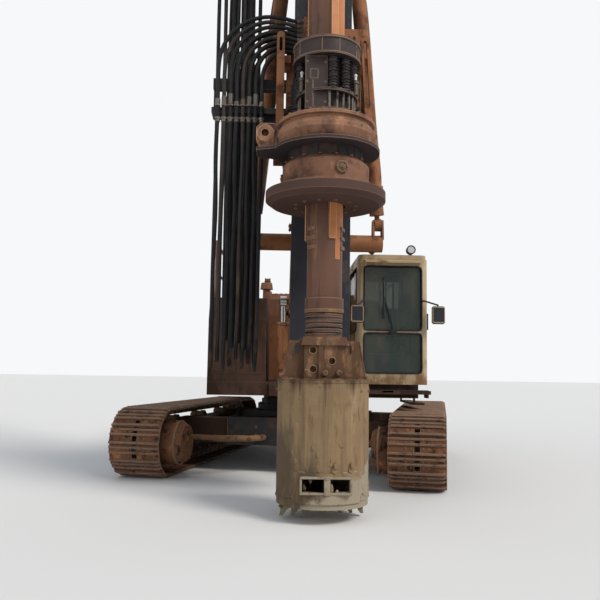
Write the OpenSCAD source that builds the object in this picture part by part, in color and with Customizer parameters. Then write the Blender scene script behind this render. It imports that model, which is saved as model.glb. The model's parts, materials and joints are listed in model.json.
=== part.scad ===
// Rotary piling rig on tracks: upper carriage, parallelogram boom, mast, rotary drive, kelly bar and bucket.
// Frame: X forward over the boom, Y to the operator's left, Z up, origin on the slewing axis at the ground.

/* [Tracks] */
// Distance between the two track centre lines when spread
track_gauge = 3730; // [3400:10:3900]
// Width of a track shoe
shoe_w = 720; // [600:10:760]
// Distance from the idler axle to the sprocket axle
track_base = 4090; // [3800:10:4400]
// Outer radius of the track over the grousers
track_r = 480; // [440:1:520]
// Number of shoes round one track
shoe_n = 48; // [40:1:56]
// Height of a grouser bar
grouser_h = 27; // [15:1:40]
// Thickness of the shoe plate
shoe_t = 30; // [20:1:40]
// Depth of the chain inside the shoes
chain_t = 92; // [70:1:110]
// Width of the chain
chain_w = 220; // [160:2:260]
// Angle of the tracks against the upper carriage as it stands
slew_rest = 13.3; // [0:0.1:30]
// Stroke of each track frame when the tracks are drawn in
spread_stroke = 550; // [300:10:560]
// Radius of a bottom roller
roller_r = 108; // [80:1:130]
// Bottom rollers on each side
roller_n = 8; // [6:1:9]

/* [Carbody] */
// Half width of the carbody and of its sleeves
carbody_half_w = 930; // [800:5:940]
// Length of the carbody box between the sleeves
carbody_l = 1840; // [1500:10:2000]
// Outer side of a sleeve for the track beams
sleeve_a = 400; // [340:5:440]
// Wall of a sleeve
sleeve_wall = 22; // [12:1:30]
// Distance between the two sleeves' middles
sleeve_gap = 2240; // [2000:10:2400]
// Clearance round a beam in its sleeve
beam_fit = 8; // [5:1:12]
// Outer radius of the slewing ring
slew_r = 740; // [600:5:780]

/* [Upper carriage] */
// Height of the deck's underside
deck_z = 1130; // [1080:5:1200]
// Thickness of the deck
deck_t = 190; // [140:5:240]
// Half width of the upper carriage
upper_half_w = 1500; // [1400:10:1550]
// Front edge of the deck's nose
nose_x = 1450; // [1300:10:1500]
// Half width of the deck's nose
nose_half_w = 600; // [560:5:620]
// Rear edge of the counterweight
tail_x = 4650; // [4400:10:4800]
// Length of the counterweight
weight_l = 770; // [600:10:900]
// Height of the counterweight
weight_h = 1350; // [1000:10:1500]
// Length of the engine house
house_l = 2110; // [1800:10:2300]
// Height of the engine house over the deck
house_h = 1530; // [1300:10:1700]
// Height of the side boxes over the deck
box_h = 1230; // [1000:10:1400]
// Front edge of the right side box
tank_front_x = 1400; // [1200:10:1450]
// Sheet thickness of the house and its doors
sheet_t = 20; // [8:1:30]

/* [Cab] */
// Length of the cab
cab_l = 1680; // [1500:10:1750]
// Width of the cab
cab_w = 1000; // [900:10:1050]
// Height of the cab
cab_h = 1840; // [1700:10:1900]
// Front face of the cab
cab_front_x = 1730; // [1600:10:1800]
// Inner side of the cab
cab_side_y = 630; // [620:5:700]
// Wall of the cab
cab_wall = 60; // [40:1:80]
// Height of the front window's split over the cab floor
split_h = 740; // [600:10:900]
// Thickness of the glass
glass_t = 8; // [5:1:10]

/* [Boom] */
// Forward reach from the boom's foot pin to its head pin
boom_dx = 1500; // [1400:10:1600]
// Rise from the boom's foot pin to its head pin
boom_dz = 1100; // [1000:10:1200]
// Place of the boom's foot pin, forward
boom_foot_x = 450; // [350:10:550]
// Place of the boom's foot pin, up
boom_foot_z = 1750; // [1700:10:1800]
// Place of the support rods' foot, behind the boom's foot pin
rod_back = 350; // [300:10:400]
// Place of the support rods' foot, above the boom's foot pin
rod_up = 700; // [650:10:750]
// Half width of the boom beam
boom_half_w = 190; // [160:5:200]
// Depth of the boom beam
boom_d = 320; // [260:5:360]
// Radius of the pins in the boom and the rods
pin_r = 55; // [45:1:60]
// Outer radius of a luffing cylinder's barrel
luff_r = 78; // [70:1:85]

/* [Mast] */
// Width of the mast
mast_w = 620; // [560:10:640]
// Depth of the mast
mast_d = 620; // [560:10:640]
// Wall of the mast
mast_wall = 16; // [10:1:25]
// Front face of the mast
mast_front_x = 3360; // [3340:5:3380]
// Lower end of the mast
mast_foot_z = 1250; // [1200:10:1350]
// Top of the mast's lower section
mast_z1 = 6600; // [6200:50:7000]
// Top of the mast's middle section
mast_z2 = 13800; // [13000:50:14500]
// Top of the mast's upper section
mast_z3 = 20000; // [19000:50:20500]
// Place of the mast's hinge, forward
hinge_x = 2550; // [2500:5:2600]
// Place of the mast's hinge, up
hinge_z = 3220; // [3150:5:3300]
// Width of a guide rail
rail_w = 40; // [30:1:60]
// Radius of the head sheaves over their flanges
sheave_r = 330; // [280:5:360]
// Outer radius of a mast cylinder's barrel
mast_cyl_r = 98; // [90:1:105]
// Radius of the main winch's drum with its rope
drum_main_r = 250; // [220:5:270]
// Radius of the auxiliary winch's drum with its rope
drum_aux_r = 180; // [150:5:200]

/* [Rotary drive] */
// Distance from the slewing axis to the kelly bar
kelly_x = 4130; // [4100:5:4160]
// Height of the big disc's underside
disc_z = 3250; // [3200:5:3300]
// Radius of the big disc
disc_r = 643; // [600:1:650]
// Thickness of the big disc
disc_t = 170; // [140:5:190]
// Radius of the drum above the disc
drum_r = 465; // [430:1:490]
// Height of the drum above the disc
drum_h = 280; // [240:5:300]
// Radius of the gear housing
gear_r = 545; // [500:1:560]
// Height of the gear housing
gear_h = 330; // [300:5:360]
// Height of the spring basket above the gear housing
basket_h = 620; // [560:10:680]
// Outer radius of the collar on top of the basket
collar_r = 372; // [350:1:390]
// Height of the collar
collar_h = 200; // [160:5:240]
// Radius of the bore for the kelly bar
sleeve_r = 216; // [214:1:225]
// Stroke of the drive down from where it stands
crowd_down = 900; // [600:10:1000]
// Stroke of the drive up from where it stands
crowd_up = 3600; // [3000:10:3600]

/* [Kelly bar and bucket] */
// Radius over the keys of the outer tube
key_r = 210; // [205:1:212]
// Radius of the outer tube
tube_r = 188; // [180:1:192]
// Wall of each tube
tube_wall = 16; // [12:1:18]
// Lower end of the outer tube
kelly_z = 2130; // [2100:5:2200]
// Length of the outer tube
kelly_l = 12900; // [12000:50:13500]
// Radius of the bucket
bucket_r = 475; // [450:1:500]
// Wall of the bucket
bucket_wall = 20; // [15:1:30]
// Lower end of the bucket's shell
bucket_z = 215; // [205:1:260]
// Height of the bucket's shell
bucket_h = 1195; // [1100:5:1210]
// Length of a bucket tooth
tooth_l = 125; // [100:5:150]

/* [Hoses] */
// Outer diameter of a drive hose
hose_d = 48; // [40:1:54]
// Number of drive hoses side by side in the front row
hose_n = 8; // [6:1:8]
// Number of drive hoses in the back row
hose_back_n = 4; // [0:1:4]
// Distance between two hoses next to each other
hose_step = 72; // [64:1:74]
// Diameter of the sleeve round a travel motor's hoses
travel_hose_d = 90; // [70:1:96]

/* [Hidden] */
$fn = 48;
eps = 1;
// Running clearance between a pin and its eye
pin_fit = 0.3;
// Air between faces that pass each other at a hinge
side_gap = 5;
// Air between a piece and what carries it
seat = 0.3;

// Colours
c_body = [0.72, 0.42, 0.16];
c_dark = [0.16, 0.17, 0.20];
c_rust = [0.42, 0.24, 0.14];
c_cream = [0.84, 0.80, 0.68];
c_glass = [0.25, 0.45, 0.45, 0.5];
c_mud = [0.52, 0.47, 0.36];
c_black = [0.05, 0.05, 0.06];
c_steel = [0.62, 0.60, 0.56];
c_kelly = [0.80, 0.45, 0.15];

// Track sizes worked out
chain_out_r = track_r - grouser_h - shoe_t;
chain_in_r = chain_out_r - chain_t;
wheel_r = chain_in_r - seat;
frame_half_w = 150;
loop_l = 2 * track_base + 2 * PI * chain_out_r;
shoe_pitch = loop_l / shoe_n;
roller_z = track_r - chain_in_r + roller_r + seat;
motor_cover_r = 300;
motor_cover_in = 585;
beam_z = track_r + 120;
carbody_z0 = beam_z - 170;
carbody_z1 = beam_z + 280;
ring_top = deck_z - 90;

// Deck and cab places
deck_top = deck_z + deck_t;
weight_x = -tail_x + weight_l;
house_x0 = weight_x + 25;
house_x1 = house_x0 + house_l;
box_x0 = house_x1 + 30;
cab_x0 = cab_front_x - cab_l;
cab_y1 = cab_side_y + cab_w;
cab_z1 = deck_top + cab_h;

// Boom pins
boom_head_x = boom_foot_x + boom_dx;
boom_head_z = boom_foot_z + boom_dz;
rod_foot_x = boom_foot_x - rod_back;
rod_foot_z = boom_foot_z + rod_up;
rod_head_x = boom_head_x - rod_back;
rod_head_z = boom_head_z + rod_up;
boom_len = sqrt(boom_dx * boom_dx + boom_dz * boom_dz);
boom_ang = atan2(boom_dz, boom_dx);
plate_in = boom_half_w + 30 + side_gap;
plate_out = plate_in + 40;
link_w = 60;
luff_y = 420;
luff_foot = [1250, 1420];
luff_eye_along = 1250;
luff_eye = [boom_foot_x + luff_eye_along * cos(boom_ang), boom_foot_z + luff_eye_along * sin(boom_ang)];

// Mast places
mast_back_x = mast_front_x - mast_d;
mast_mid_x = mast_front_x - mast_d / 2;
rail_out = mast_w / 2 + rail_w;
tube_x = 2200;
tube_half = 900;
cyl_foot = [tube_x, 840, 3480];
cyl_eye = [mast_back_x - 60, 400, 7700];
cyl_vec = cyl_eye - cyl_foot;
cyl_len = norm(cyl_vec);
cyl_gland = 3250;
cyl_pin_r = 28;
winch_x = mast_back_x - 420;
winch_z = 4950;
aux_z = 6150;
winch_half = 257;
aux_half = 217;
flange_over = 65;
head_z = mast_z3 + 380;
sheave_groove_r = sheave_r - 30;
front_sheave_x = kelly_x - sheave_groove_r;
rear_sheave_x = winch_x - 250 + sheave_groove_r;
// Distance between the main rope's and the auxiliary rope's planes and the middle plane
aux_rope_y = 180;

// Rotary drive places
neck_r = 400;
gear_bore = 250;
neck_h = 120;
drum_z = disc_z + disc_t;
neck_z = drum_z + drum_h;
gear_z = neck_z + neck_h;
gear_top = gear_z + gear_h;
basket_z = gear_top + 40;
collar_z = basket_z + basket_h;
collar_top = collar_z + collar_h;
sled_top = 5560;
sled_y0 = 470;
sled_y1 = 580;
motor_x = kelly_x - 430;
motor_y = 300;
motor_r = 125;
sled_x0 = mast_front_x + 70;
sled_x1 = sled_x0 + 230;
upright_y0 = 350;
upright_y1 = 440;
upright_x1 = sled_x0 + 130;
crowd_x = mast_front_x + 125;
crowd_r = 85;
crowd_rod_r = 45;
crowd_eye_z = sled_top + 90;
barrel_z0 = crowd_eye_z + crowd_up + 60;
barrel_z1 = barrel_z0 + crowd_up + crowd_down + 400;

// Hose places
hose_r = hose_d / 2;
hose_x = 3720;
hose_mast_x = 3050;
hose_y = -720;
hose_exit_x = 3745;
hose_exit_y = -250;
hose_exit_z = 5140;
hose_exit_step = 55;
hose_back = 95;
hose_hang_z = 7550;
hose_slant = 75;
hose_near_y = hose_y - hose_slant + 60;
hose_mast_y = hose_y - hose_slant - (hose_n - 1) * hose_step;
hose_low = 1490;
// How much higher each hose's loop hangs than the lowest one
hose_lift = [0, 90, 30, 140, 60, 0, 110, 40, 250, 330, 280, 360];

// Kelly bar places
middle_key_r = tube_r - tube_wall - 4;
middle_r = middle_key_r - 20;
core_key_r = middle_r - tube_wall - 4;
core_r = core_key_r - 18;
core_bore = 75;
kelly_top = kelly_z + kelly_l;
guide_z = kelly_top - 420;
bucket_top = bucket_z + bucket_h;
stub_w = 420;
stub_z = 1840;
flap_t = 55;
flap_pin_x = kelly_x - bucket_r - 42;
flap_pin_z = bucket_z - seat - 28;

// A box given by its low and high corner
module span(a, b) {
    translate(a)
        cube(b - a);
}

// A round bar along Y, centred on the middle plane
module bar_y(x, z, r, half) {
    translate([x, half, z])
        rotate([90, 0, 0])
            cylinder(r = r, h = 2 * half);
}

// A tapered round piece along Y, from one side place and radius to another
module cone_span(x, z, r0, r1, y0, y1) {
    translate([x, y0, z])
        rotate([-90, 0, 0])
            cylinder(r1 = r0, r2 = r1, h = y1 - y0);
}

// A round bar along X, from one place to another
module bar_x(x0, x1, y, z, r) {
    translate([x0, y, z])
        rotate([0, 90, 0])
            cylinder(r = r, h = x1 - x0);
}

// Round bars from point to point, with a ball at each bend
module tube_run(points, r) {
    for (i = [1:len(points) - 1]) {
        d = points[i] - points[i - 1];
        translate(points[i - 1])
            rotate([0, acos(d[2] / norm(d)), atan2(d[1], d[0])])
                cylinder(r = r, h = norm(d), $fn = 12);
    }
    for (i = [1:len(points) - 2])
        translate(points[i])
            sphere(r = r + 1, $fn = 12);
}

// A round bar along Y from one side place to another
module bar_span(x, z, r, y0, y1) {
    translate([x, y1, z])
        rotate([90, 0, 0])
            cylinder(r = r, h = y1 - y0);
}

// A flat plate in the XZ plane, from y0 to y1, of an outline
module plate_xz(points, y0, y1) {
    translate([0, y1, 0])
        rotate([90, 0, 0])
            linear_extrude(y1 - y0)
                polygon(points);
}

// A flat plate in the YZ plane, from x0 to x1, of an outline
module plate_yz(points, x0, x1) {
    translate([x0, 0, 0])
        rotate([90, 0, 90])
            linear_extrude(x1 - x0)
                polygon(points);
}

// An upright box with round corners
module round_box(a, b, r) {
    translate([0, 0, a[2]])
        linear_extrude(b[2] - a[2])
            offset(r = r, $fn = 24)
                translate([a[0] + r, a[1] + r])
                    square([b[0] - a[0] - 2 * r, b[1] - a[1] - 2 * r]);
}

// Copy on both sides of the middle plane
module both_sides() {
    children();
    mirror([0, 1, 0])
        children();
}

// Turn the undercarriage against the upper carriage
module under() {
    rotate([0, 0, -slew_rest])
        children();
}

// Place on the track loop at a length along it, with an outward distance from the chain line
function loop_at(s, out) =
    let (
        half = track_base / 2,
        arc = PI * chain_out_r,
        u = s - floor(s / loop_l) * loop_l
    )
    u < track_base ? [half - u, track_r + chain_out_r + out]
    : u < track_base + arc ?
        let (a = 90 + (u - track_base) / chain_out_r * 180 / PI)
        [-half + (chain_out_r + out) * cos(a), track_r + (chain_out_r + out) * sin(a)]
    : u < 2 * track_base + arc ? [-half + u - track_base - arc, track_r - chain_out_r - out]
    : let (a = -90 + (u - 2 * track_base - arc) / chain_out_r * 180 / PI)
        [half + (chain_out_r + out) * cos(a), track_r + (chain_out_r + out) * sin(a)];

// Outline of one shoe: share of the pitch and outward distance
shoe_gap = 0.035;
shoe_outline = [[0, 10], [shoe_gap, 10], [shoe_gap, shoe_t + grouser_h], [0.17, shoe_t + grouser_h],
    [0.20, shoe_t], [0.52, shoe_t], [0.54, shoe_t + grouser_h], [0.66, shoe_t + grouser_h],
    [0.69, shoe_t], [1 - shoe_gap, shoe_t], [1 - shoe_gap, 10]];

// Stadium outline of a radius round the two axles
module stadium(r) {
    hull_free_half = track_base / 2;
    translate([-hull_free_half, track_r])
        circle(r = r, $fn = 64);
    translate([hull_free_half, track_r])
        circle(r = r, $fn = 64);
    translate([-hull_free_half, track_r - r])
        square([track_base, 2 * r]);
}

// One track: shoes with their grousers round the loop, and the chain inside them
module track(side) {
    y_mid = side * track_gauge / 2;
    color(c_rust)
        under() {
            translate([0, y_mid + shoe_w / 2, 0])
                rotate([90, 0, 0])
                    linear_extrude(shoe_w)
                        difference() {
                            polygon([for (i = [0:shoe_n - 1]) for (p = shoe_outline)
                                loop_at((i + p[0]) * shoe_pitch, p[1])]);
                            stadium(chain_out_r);
                        }
            translate([0, y_mid + chain_w / 2, 0])
                rotate([90, 0, 0])
                    linear_extrude(chain_w)
                        difference() {
                            stadium(chain_out_r);
                            stadium(chain_in_r);
                        }
        }
}

module track_left() {
    track(1);
}

module track_right() {
    track(-1);
}

// Side frame with the two beams that slide in the carbody, and the skirts that hold the rollers
module track_frame(side) {
    y_mid = side * track_gauge / 2;
    half = track_base / 2;
    skirt_z = roller_z - 30;
    beam_a = sleeve_a - 2 * sleeve_wall - 2 * beam_fit;
    beam_half_h = sleeve_a / 2 - sleeve_wall - seat;
    beam_in = side * (carbody_half_w - 360);
    beam_out = y_mid - side * frame_half_w;
    color(c_body)
        under()
            difference() {
                union() {
                    span([-half + wheel_r + 60, y_mid - frame_half_w, track_r - 60],
                        [half - wheel_r - 60, y_mid + frame_half_w, track_r + 210]);
                    for (s = [-1, 1])
                        span([-half + wheel_r - 40, y_mid + s * (frame_half_w - 10) - 10, skirt_z],
                            [half - wheel_r + 40, y_mid + s * (frame_half_w - 10) + 10, beam_z]);
                    for (s = [-1, 1])
                        span([-half - 130, y_mid + s * (frame_half_w - 15) - 15, track_r - 110],
                            [half + 130, y_mid + s * (frame_half_w - 15) + 15, track_r + 110]);
                    for (x = [-sleeve_gap / 2, sleeve_gap / 2])
                        span([x - beam_a / 2, min(beam_in, beam_out), beam_z - beam_half_h],
                            [x + beam_a / 2, max(beam_in, beam_out), beam_z + beam_half_h]);
                }
                for (s = [-1, 1])
                    translate([s * half, y_mid + 300, track_r])
                        rotate([90, 0, 0])
                            cylinder(r = 60 + pin_fit, h = 600);
            }
}

module track_frame_left() {
    track_frame(1);
}

module track_frame_right() {
    track_frame(-1);
}

// Idler, sprocket with its hub motor, bottom rollers and carrier rollers of one side
module rollers(side) {
    y_mid = side * track_gauge / 2;
    half = track_base / 2;
    wheel_half = frame_half_w - 32;
    roller_half = frame_half_w - 20 - seat;
    step = (track_base - 2 * wheel_r - 240) / (roller_n - 1);
    inner = -frame_half_w - 2;
    color(c_rust)
        under()
            translate([0, y_mid, 0])
                mirror([0, side > 0 ? 0 : 1, 0]) {
                    for (s = [-1, 1]) {
                        bar_y(s * half, track_r, wheel_r, wheel_half - 40);
                        bar_y(s * half, track_r, wheel_r - 60, wheel_half);
                        bar_y(s * half, track_r, 60, frame_half_w + 40);
                        bar_span(s * half, track_r, 190, frame_half_w + 2, frame_half_w + 60);
                        cone_span(s * half, track_r, 170, 120, frame_half_w + 50, frame_half_w + 90);
                    }
                    bar_span(-half, track_r, 130, inner - 80, inner);
                    bar_span(half, track_r, motor_cover_r, -motor_cover_in + 90, inner);
                    cone_span(half, track_r, motor_cover_r - 55, motor_cover_r, -motor_cover_in,
                        -motor_cover_in + 91);
                    for (i = [0:roller_n - 1]) {
                        x = -half + wheel_r + 120 + i * step;
                        bar_y(x, roller_z, roller_r, roller_half - 60);
                        bar_y(x, roller_z, roller_r - 25, roller_half);
                    }
                }
}

module rollers_left() {
    rollers(1);
}

module rollers_right() {
    rollers(-1);
}

// Carbody: centre box, two sleeves for the track beams, and the ring seat
module carbody() {
    sleeve_z0 = beam_z - sleeve_a / 2;
    color(c_dark)
        under()
            union() {
                difference() {
                    union() {
                        span([-carbody_l / 2, -carbody_half_w + 120, carbody_z0],
                            [carbody_l / 2, carbody_half_w - 120, carbody_z1]);
                        for (x = [-sleeve_gap / 2, sleeve_gap / 2])
                            span([x - sleeve_a / 2, -carbody_half_w, sleeve_z0],
                                [x + sleeve_a / 2, carbody_half_w, sleeve_z0 + sleeve_a]);
                        both_sides()
                            for (s = [-1, 1])
                                plate_xz([[s * (sleeve_gap / 2 + sleeve_a / 2), beam_z + 60],
                                    [s * (sleeve_gap / 2 - sleeve_a / 2), beam_z + 60],
                                    [s * (sleeve_gap / 2 - sleeve_a / 2) - s * 60, carbody_z1 + 60]],
                                    carbody_half_w - 60, carbody_half_w - 30);
                    }
                    for (x = [-sleeve_gap / 2, sleeve_gap / 2])
                        span([x - sleeve_a / 2 + sleeve_wall, -carbody_half_w - eps, sleeve_z0 + sleeve_wall],
                            [x + sleeve_a / 2 - sleeve_wall, carbody_half_w + eps,
                                sleeve_z0 + sleeve_a - sleeve_wall]);
                }
                translate([0, 0, carbody_z1 - 10])
                    cylinder(r = slew_r + 60, h = ring_top - 75 - carbody_z1 + 10);
                translate([0, 0, ring_top - 80])
                    cylinder(r = slew_r, h = 80);
            }
}

// Deck of the upper carriage with the boom's plates and the luffing cylinders' feet
module upper_frame() {
    color(c_body) {
        difference() {
            translate([0, 0, deck_z])
                linear_extrude(deck_t)
                    polygon([[weight_x + seat, -upper_half_w], [tank_front_x, -upper_half_w],
                        [tank_front_x, -nose_half_w], [nose_x, -nose_half_w], [nose_x, nose_half_w],
                        [cab_front_x - 60, nose_half_w], [cab_front_x - 60, upper_half_w],
                        [weight_x + seat, upper_half_w]]);
            translate([0, 0, deck_z - eps])
                cylinder(r = 320, h = deck_t + 2 * eps);
        }
        translate([0, 0, ring_top + seat])
            difference() {
                cylinder(r = slew_r - 30, h = deck_z - ring_top - seat + eps);
                translate([0, 0, -eps])
                    cylinder(r = 320, h = 200);
            }
        both_sides()
            difference() {
                union() {
                    plate_xz([[-700, deck_top - 5], [900, deck_top - 5], [boom_foot_x + 110, boom_foot_z - 40],
                        [boom_foot_x + 80, boom_foot_z + 90], [rod_foot_x + 100, rod_foot_z + 60],
                        [rod_foot_x - 30, rod_foot_z + 110], [rod_foot_x - 110, rod_foot_z + 40],
                        [rod_foot_x - 160, boom_foot_z]], plate_in, plate_out);
                    bar_span(rod_foot_x, rod_foot_z, pin_r, plate_in, plate_out + side_gap + link_w + 20);
                }
                bar_y(boom_foot_x, boom_foot_z, pin_r, 300);
            }
        bar_y(boom_foot_x, boom_foot_z, pin_r, plate_out + 10);
        both_sides()
            for (y = [luff_y - 70, luff_y + 50])
                plate_xz([[luff_foot[0] - 110, deck_top - 5], [luff_foot[0] + 110, deck_top - 5],
                    [luff_foot[0] + 55, luff_foot[1] + 45], [luff_foot[0] - 55, luff_foot[1] + 45]], y, y + 20);
        both_sides()
            bar_span(luff_foot[0], luff_foot[1], 40, luff_y - 60, luff_y + 60);
    }
}

module counterweight() {
    corner = 350;
    z0 = deck_z + 60;
    chamfer = 90;
    color(c_body) {
        difference() {
            translate([0, 0, z0])
                linear_extrude(weight_h)
                    polygon([[weight_x, -upper_half_w], [weight_x, upper_half_w],
                        [-tail_x + corner, upper_half_w], [-tail_x + 90, upper_half_w - corner + 60],
                        [-tail_x, upper_half_w - 2 * corner], [-tail_x, -upper_half_w + 2 * corner],
                        [-tail_x + 90, -upper_half_w + corner - 60], [-tail_x + corner, -upper_half_w]]);
            plate_xz([[-tail_x - eps, z0 + weight_h + eps], [-tail_x - eps, z0 + weight_h - chamfer],
                [-tail_x + chamfer, z0 + weight_h + eps]], -upper_half_w, upper_half_w);
            for (z = [z0 + weight_h / 3, z0 + weight_h * 2 / 3])
                span([-tail_x - eps, -upper_half_w - eps, z - 8], [-tail_x + 14, upper_half_w + eps, z + 8]);
        }
        both_sides()
            plate_xz([[weight_x - 320, z0 + weight_h - 5], [weight_x - 120, z0 + weight_h - 5],
                [weight_x - 160, z0 + weight_h + 110], [weight_x - 280, z0 + weight_h + 110]], 780, 830);
    }
}

// Lift-off hinge of a sheet door: the fixed half holds the pin, the other half turns on it
hinge_off = 22;
module hinge_fixed(x, y, z, side, toward) {
    translate([x, y + side * hinge_off, z]) {
        cylinder(r = 18, h = 45);
        cylinder(r = 9, h = 120);
        span([toward > 0 ? 0 : -60, side > 0 ? -hinge_off - 2 : -8, 0],
            [toward > 0 ? 60 : 0, side > 0 ? 8 : hinge_off + 2, 45]);
    }
}

module hinge_turning(x, y, z, side, toward) {
    translate([x, y + side * hinge_off, z + 45 + seat])
        difference() {
            union() {
                cylinder(r = 18, h = 75);
                span([toward > 0 ? 0 : -20, -8, 0], [toward > 0 ? 20 : 0, 8, 75]);
                span([toward > 0 ? 12 : -60, side > 0 ? -hinge_off - 2 : -8, 0],
                    [toward > 0 ? 60 : -12, side > 0 ? 8 : hinge_off + 2, 75]);
            }
            translate([0, 0, -eps])
                cylinder(r = 9 + pin_fit, h = 100);
        }
}
// Engine house: four walls and a roof, open where its two doors close it
module engine_house() {
    y1 = upper_half_w - 50;
    roof = deck_top + house_h;
    stack_x = house_x0 + 520;
    stack_y = -upper_half_w / 2;
    color(c_body)
        difference() {
            union() {
                span([house_x0, -y1, deck_top], [house_x1, y1, roof]);
                intersection() {
                    plate_xz([[house_x0 + 250, roof - eps], [house_x0 + 350, roof + 150],
                        [house_x1 - 350, roof + 150], [house_x1 - 250, roof - eps]], -y1 * 0.6, y1 * 0.6);
                    plate_yz([[-y1 * 0.6, roof - 2], [-y1 * 0.48, roof + 151], [y1 * 0.48, roof + 151],
                        [y1 * 0.6, roof - 2]], house_x0 + 240, house_x1 - 240);
                }
                for (y = [-y1 + 180, y1 - 180])
                    bar_x(house_x1 - 700, house_x1 - 200, y, roof, 60);
            }
            span([house_x0 + sheet_t, -y1 + sheet_t, deck_top - eps],
                [house_x1 - sheet_t, y1 - sheet_t, roof - sheet_t]);
            for (s = [-1, 1])
                span([house_x0 + 120, s * y1 - 60, deck_top + 90],
                    [house_x1 - 120, s * y1 + 60, roof - 160]);
        }
    color(c_body)
        for (s = [-1, 1])
            for (z = [300, house_h - 500])
                hinge_fixed(house_x0 + 115, s * y1, deck_top + z, s, -1);
    color(c_dark)
        translate([stack_x, stack_y, roof - eps])
            difference() {
                union() {
                    cylinder(r = 95, h = 330);
                    cylinder(r = 62, h = 620);
                }
                translate([0, 0, 640])
                    rotate([0, 35, 0])
                        cylinder(r = 160, h = 200);
                translate([0, 0, 300])
                    cylinder(r = 54, h = 400);
            }
    color(c_dark)
        translate([stack_x + 900, stack_y, roof - eps]) {
            cylinder(r = 75, h = 280);
            translate([0, 0, 270])
                cylinder(r1 = 130, r2 = 110, h = 130);
        }
}

// One side door of the engine house, with its grille slots
module house_door(side) {
    y1 = upper_half_w - 50;
    x0 = house_x0 + 120 + side_gap;
    x1 = house_x1 - 120 - side_gap;
    z0 = deck_top + 90 + side_gap;
    z1 = deck_top + house_h - 160 - side_gap;
    color(c_body)
        difference() {
            span([x0, side > 0 ? y1 - sheet_t : -y1, z0], [x1, side > 0 ? y1 : -y1 + sheet_t, z1]);
            for (i = [0:6])
                span([x0 + 250, side * y1 - 60, z0 + 250 + i * 100], [x1 - 250, side * y1 + 60, z0 + 290 + i * 100]);
        }
    color(c_body)
        for (z = [300, house_h - 500])
            hinge_turning(house_x0 + 115, side * y1, deck_top + z, side, 1);
}

module house_door_left() {
    house_door(1);
}

module house_door_right() {
    house_door(-1);
}

module engine() {
    half = upper_half_w / 3;
    color(c_dark)
        span([house_x0 + house_l * 0.19, -half, deck_top], [house_x1 - house_l * 0.17, half, deck_top + house_h * 0.68]);
}

module tank_box() {
    top = deck_top + box_h;
    y1 = -nose_half_w - 60;
    color(c_body) {
        translate([0, y1, 0])
            rotate([90, 0, 0])
                linear_extrude(upper_half_w + y1)
                    polygon([[box_x0, deck_top], [tank_front_x, deck_top], [tank_front_x, top - 330],
                        [tank_front_x - 130, top], [box_x0, top]]);
        for (x = [box_x0 + 500, box_x0 + 1400])
            translate([x, -upper_half_w / 2 - 320, top - eps]) {
                cylinder(r = 85, h = 60);
                cylinder(r = 60, h = 95);
            }
        for (i = [0:3])
            span([tank_front_x - 5, -upper_half_w + 60 + i * 190, deck_top + 120],
                [tank_front_x + 12, -upper_half_w + 210 + i * 190, deck_top + 640]);
    }
}

module valve_box() {
    top = deck_top + box_h;
    color(c_body) {
        span([box_x0, nose_half_w + 60, deck_top], [cab_x0 - 30, upper_half_w, top]);
        span([box_x0 + 150, upper_half_w - 5, deck_top + 150], [cab_x0 - 180, upper_half_w + 12, top - 150]);
        span([box_x0 + 200, nose_half_w + 200, top - 5], [cab_x0 - 230, upper_half_w - 150, top + 40]);
    }
}

// Cab shell: floor, posts and roof, with windows all round and the door's opening
module cab_shell() {
    x0 = cab_x0;
    x1 = cab_front_x;
    y0 = cab_side_y;
    y1 = cab_y1;
    z0 = deck_top;
    w = cab_wall;
    color(c_cream)
        difference() {
            union() {
                round_box([x0, y0, z0], [x1, y1, cab_z1 - 60], cab_corner);
                round_box([x0 + 15, y0 + 15, cab_z1 - 60 - eps], [x1 - 15, y1 - 15, cab_z1], cab_corner);
                plate_xz([[x1 - 60, cab_z1 - 95], [x1 + 130, cab_z1 - 135], [x1 + 130, cab_z1 - 110],
                    [x1 - 60, cab_z1 - 60]], y0 + cab_corner, y1 - cab_corner);
            }
            round_box([x0 + w, y0 + w, z0 + w], [x1 - w, y1 - w, cab_z1 - w], cab_corner - w / 2);
            span([x1 - 2 * w, y0 + 90, z0 + 160], [x1 + eps, y1 - 90, z0 + split_h - 20]);
            span([x1 - 2 * w, y0 + 90, z0 + split_h + 20], [x1 + eps, y1 - 90, cab_z1 - 170]);
            span([x0 + 120, y0 - eps, z0 + 760], [x1 - 140, y0 + 2 * w, cab_z1 - 170]);
            span([x0 - eps, y0 + 120, z0 + 800], [x0 + 2 * w, y1 - 120, cab_z1 - 170]);
            span([door_x0, y1 - 2 * w, door_z0], [door_x1, y1 + eps, door_z1]);
        }
    color(c_cream)
        for (z = door_hinges)
            hinge_fixed(door_x0 - side_gap, y1, door_z0 + z, 1, -1);
}

cab_corner = 90;
door_hinges = [250, 1250];

door_x0 = cab_front_x - 980;
door_x1 = cab_front_x - 90;
door_z0 = deck_top + 90;
door_z1 = cab_z1 - 130;

module cab_door() {
    y1 = cab_y1;
    w = cab_wall;
    x0 = door_x0 + side_gap;
    x1 = door_x1 - side_gap;
    z0 = door_z0 + side_gap;
    z1 = door_z1 - side_gap;
    color(c_cream)
        difference() {
            span([x0, y1 - w, z0], [x1, y1, z1]);
            span([x0 + 90, y1 - 2 * w, z0 + 700], [x1 - 90, y1 + eps, z1 - 90]);
        }
    color(c_cream)
        for (z = door_hinges)
            hinge_turning(door_x0 - side_gap, y1, door_z0 + z, 1, 1);
    color(c_glass)
        span([x0 + 90, y1 - w / 2 - glass_t / 2, z0 + 700], [x1 - 90, y1 - w / 2 + glass_t / 2, z1 - 90]);
}

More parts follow.
